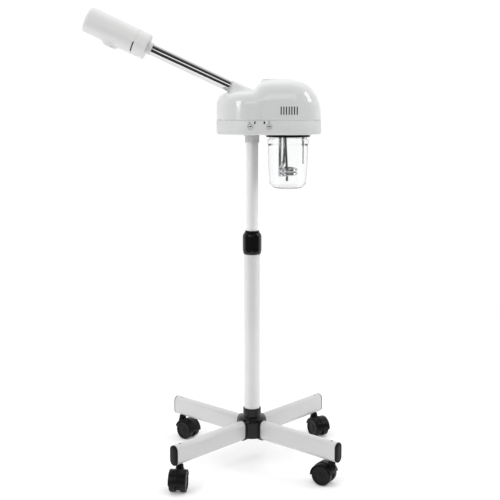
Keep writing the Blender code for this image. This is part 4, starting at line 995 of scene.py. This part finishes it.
def caster_body_mesh():
    """The hooded body in the caster's frame, whose X is the trail and whose origin is on the floor."""
    hood_in, hood_out = WHEEL_R + 1.2, WHEEL_R + 3.4
    upright = shift(TRAIL, 0, WHEEL_R) @ turn(90, "X")
    hood = round_arc(hood_out, -4, 166, 48) + round_arc(hood_in, 166, -4, 48)
    web = round_arc(hood_in + 1, 0, 164, 40) + round_arc(21, 180, 352, 30)
    spine = round_arc(hood_out + 1, 30, 150, 40) + round_arc(hood_in, 150, 30, 40)
    hood = moved(plate([hood], 41.8, 0.7, 2), upright)
    web = moved(plate([web], 8, 0.5, 1), upright)
    spine = moved(plate([spine], 11, 0.9, 2), upright)
    stem = lathe(eased([(0, 104), (4.5, 104), (5.5, 103), (5.5, 61.2), (7.2, 60.2), (8.6, 58.6),
                        (9.4, 52), (11.5, 46.4), (11.5, 40), (0, 40)], 0.6), 64)
    body = combined(hood, [web, spine, stem], "UNION")
    room = [moved(rod(WHEEL_R + 0.75, *ends, 96), upright) for ends in ((4, 60), (-60, -4))]
    return combined(body, room + [moved(rod(3.3, -20, 20, 32), upright)])


def make_casters():
    body, wheel = caster_body_mesh(), wheel_mesh()
    axle = lathe(eased([(0, -18.5), (3, -18.5), (3, 18.5), (0, 18.5)], 0.4), 32)
    hub_cap = lathe(eased([(0, 19.6), (4.4, 19.4), (5.6, 18.7), (5.6, 18.55), (0, 18.55)], 0.3), 48)
    for name, heading in HEADINGS.items():
        swivel = POLE @ along(heading, SWIVEL_FROM_AXIS) @ turn(TRAILS[name], "Z")
        hub = swivel @ at(TRAIL, 0, WHEEL_R)
        group = "caster_" + name
        piece("hood_" + name, body, BLACK, group, swivel, "caster_body_" + name, 40)
        piece("axle_pin_" + name, axle, STAINLESS, group, hub @ turn(90, "X"),
              "caster_axle_" + name)
        for side, angle in (("left", 90), ("right", -90)):
            tyre, facing = f"{name}_{side}", hub @ turn(angle, "X")
            piece("wheel_disc_" + tyre, wheel, WHEEL_BLACK, "wheel_" + tyre, facing,
                  "caster_wheel_" + tyre)
            piece("wheel_cap_" + tyre, hub_cap, BLACK, "wheel_" + tyre, facing)


# ---- CAD nodes that stay, with better materials ----

KEPT = {
    "circuit_board": BOARD, "transformer": DARK_METAL, "ozone_lamp": QUARTZ, "jar_gasket": RUBBER,
    "steam_hose": RUBBER, "arm_bush": BLACK, "pole_plug": BLACK, "pole_guide": BLACK,
}


def finish_kept_nodes():
    for name, material in KEPT.items():
        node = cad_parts[name]
        node.data.materials.clear()
        node.data.materials.append(material)


# ---- Stage, light and camera ----

FLOOR_R, FLOOR_PLACE, FLOOR_GLOW = 1.72, (0.05, 0.36, -0.0005), 0.13
SKY_LIGHT = (0.06, 1.18)  # at the horizon and overhead
SKY_GLOSS = (0.05, 0.95)  # in front and behind
MIDDLE = (0.1, 0.0, 0.6)
CAMERA_PLACE, CAMERA_PITCH, LENS = (0.0925, -2.3396, 0.907), 81.31, 68.3


def make_floor():
    """A white disc with a little emission, so that it fades into the white behind it."""
    bm = bmesh.new()
    bmesh.ops.create_circle(bm, cap_ends=True, segments=96, radius=FLOOR_R)
    mesh = from_bmesh(bm)
    floor = placed("floor", mesh)
    floor.location = FLOOR_PLACE
    made = Shader("pale_floor", (0.93, 0.93, 0.93), 0.75)
    made.vary_colour(1.2, 0.006)
    made.vary("Roughness", 2.0, 0.7, 0.85)
    set_inputs(made.principled, Emission_Color=(1.0, 1.0, 1.0, 1.0), Emission_Strength=FLOOR_GLOW)
    mesh.materials.append(made.material)


def softbox(name, place, target, size, radiance, mirrored=True):
    """An area light that faces a point; radiance is what a mirror would show of it."""
    light = bpy.data.lights.new(name, "AREA")
    light.shape = "RECTANGLE"
    light.size, light.size_y = size
    light.energy = radiance * math.pi * size[0] * size[1]
    made = placed(name, light)
    made.location = place
    made.rotation_euler = (Vector(target) - Vector(place)).to_track_quat("-Z", "Y").to_euler()
    made.visible_camera = False
    made.visible_glossy = mirrored
    return made


def make_world():
    """A light dome: seen as white by the camera and through glass, brightest overhead as light, and
    in reflections white behind the object and dim in front of it."""
    world = bpy.data.worlds.new("studio")
    bpy.context.scene.world = world
    world.use_nodes = True
    tree = world.node_tree
    background = tree.nodes["Background"]
    set_inputs(background, Color=(1.0, 1.0, 1.0, 1.0))
    path = tree.nodes.new("ShaderNodeLightPath")
    direction = tree.nodes.new("ShaderNodeSeparateXYZ")
    tree.links.new(tree.nodes.new("ShaderNodeTexCoord").outputs["Generated"], direction.inputs["Vector"])

    def graded(axis, start, end, low, high):
        made = tree.nodes.new("ShaderNodeMapRange")
        made.interpolation_type = "SMOOTHSTEP"
        set_inputs(made, From_Min=start, From_Max=end, To_Min=low, To_Max=high)
        tree.links.new(direction.outputs[axis], made.inputs["Value"])
        return made.outputs["Result"]

    def choose(ray, usual, other):
        made = tree.nodes.new("ShaderNodeMix")
        tree.links.new(path.outputs[ray], made.inputs["Factor"])
        if isinstance(usual, float):
            set_inputs(made, A=usual)
        else:
            tree.links.new(usual, made.inputs["A"])
        tree.links.new(other, made.inputs["B"])
        return made.outputs["Result"]

    lit = choose("Glossy Depth", 1.02, graded("Y", -0.35, 0.45, *SKY_GLOSS))
    lit = choose("Is Diffuse Ray", lit, graded("Z", 0.15, 0.85, *SKY_LIGHT))
    tree.links.new(lit, background.inputs["Strength"])


def make_lights():
    softbox("strip_left", (-1.30, -1.75, 1.55), (0.05, 0.0, 0.85), (0.55, 1.4), 4.6)
    softbox("window_right", (2.10, -0.10, 1.75), (0.2, 0.0, 0.9), (0.7, 0.8), 4.0)
    softbox("side_left", (-2.4, -0.3, 0.6), MIDDLE, (0.6, 1.7), 3.4, False)
    softbox("side_right", (2.5, -0.3, 0.6), MIDDLE, (0.6, 1.7), 2.8, False)
    softbox("front_bar", (0.42, -2.45, 1.90), (-0.05, 0.0, 1.0), (2.2, 0.75), 1.2)
    # Two more strips light the poles alone, so that their sides are brighter than their middle.
    poles = bpy.data.collections.new("pole_strips")
    for name in ("outer_pole", "inner_pole"):
        poles.objects.link(bpy.data.objects[name])
    for name, x in (("pole_strip_left", -1.45), ("pole_strip_right", 1.65)):
        on_pole = (0.098, 0.013, 0.55)
        strip = softbox(name, (x, -0.28, 0.55), on_pole, (0.3, 1.1), 8.0, False)
        strip.light_linking.receiver_collection = poles


def make_camera():
    data = bpy.data.cameras.new("camera")
    data.lens = LENS
    data.sensor_width = 36.0
    camera = placed("camera", data)
    camera.location = CAMERA_PLACE
    camera.rotation_euler = (math.radians(CAMERA_PITCH), 0.0, 0.0)
    bpy.context.scene.camera = camera
    bpy.context.scene.view_settings.view_transform = "Standard"


make_cover()
make_tray()
make_panel()
make_rear()
make_jar()
make_boiler()
make_arm()
make_nozzle()
make_poles()
make_clamp()
make_hub()
make_legs()
make_casters()
finish_kept_nodes()
make_floor()
make_world()
make_lights()
make_camera()

bpy.context.view_layer.update()
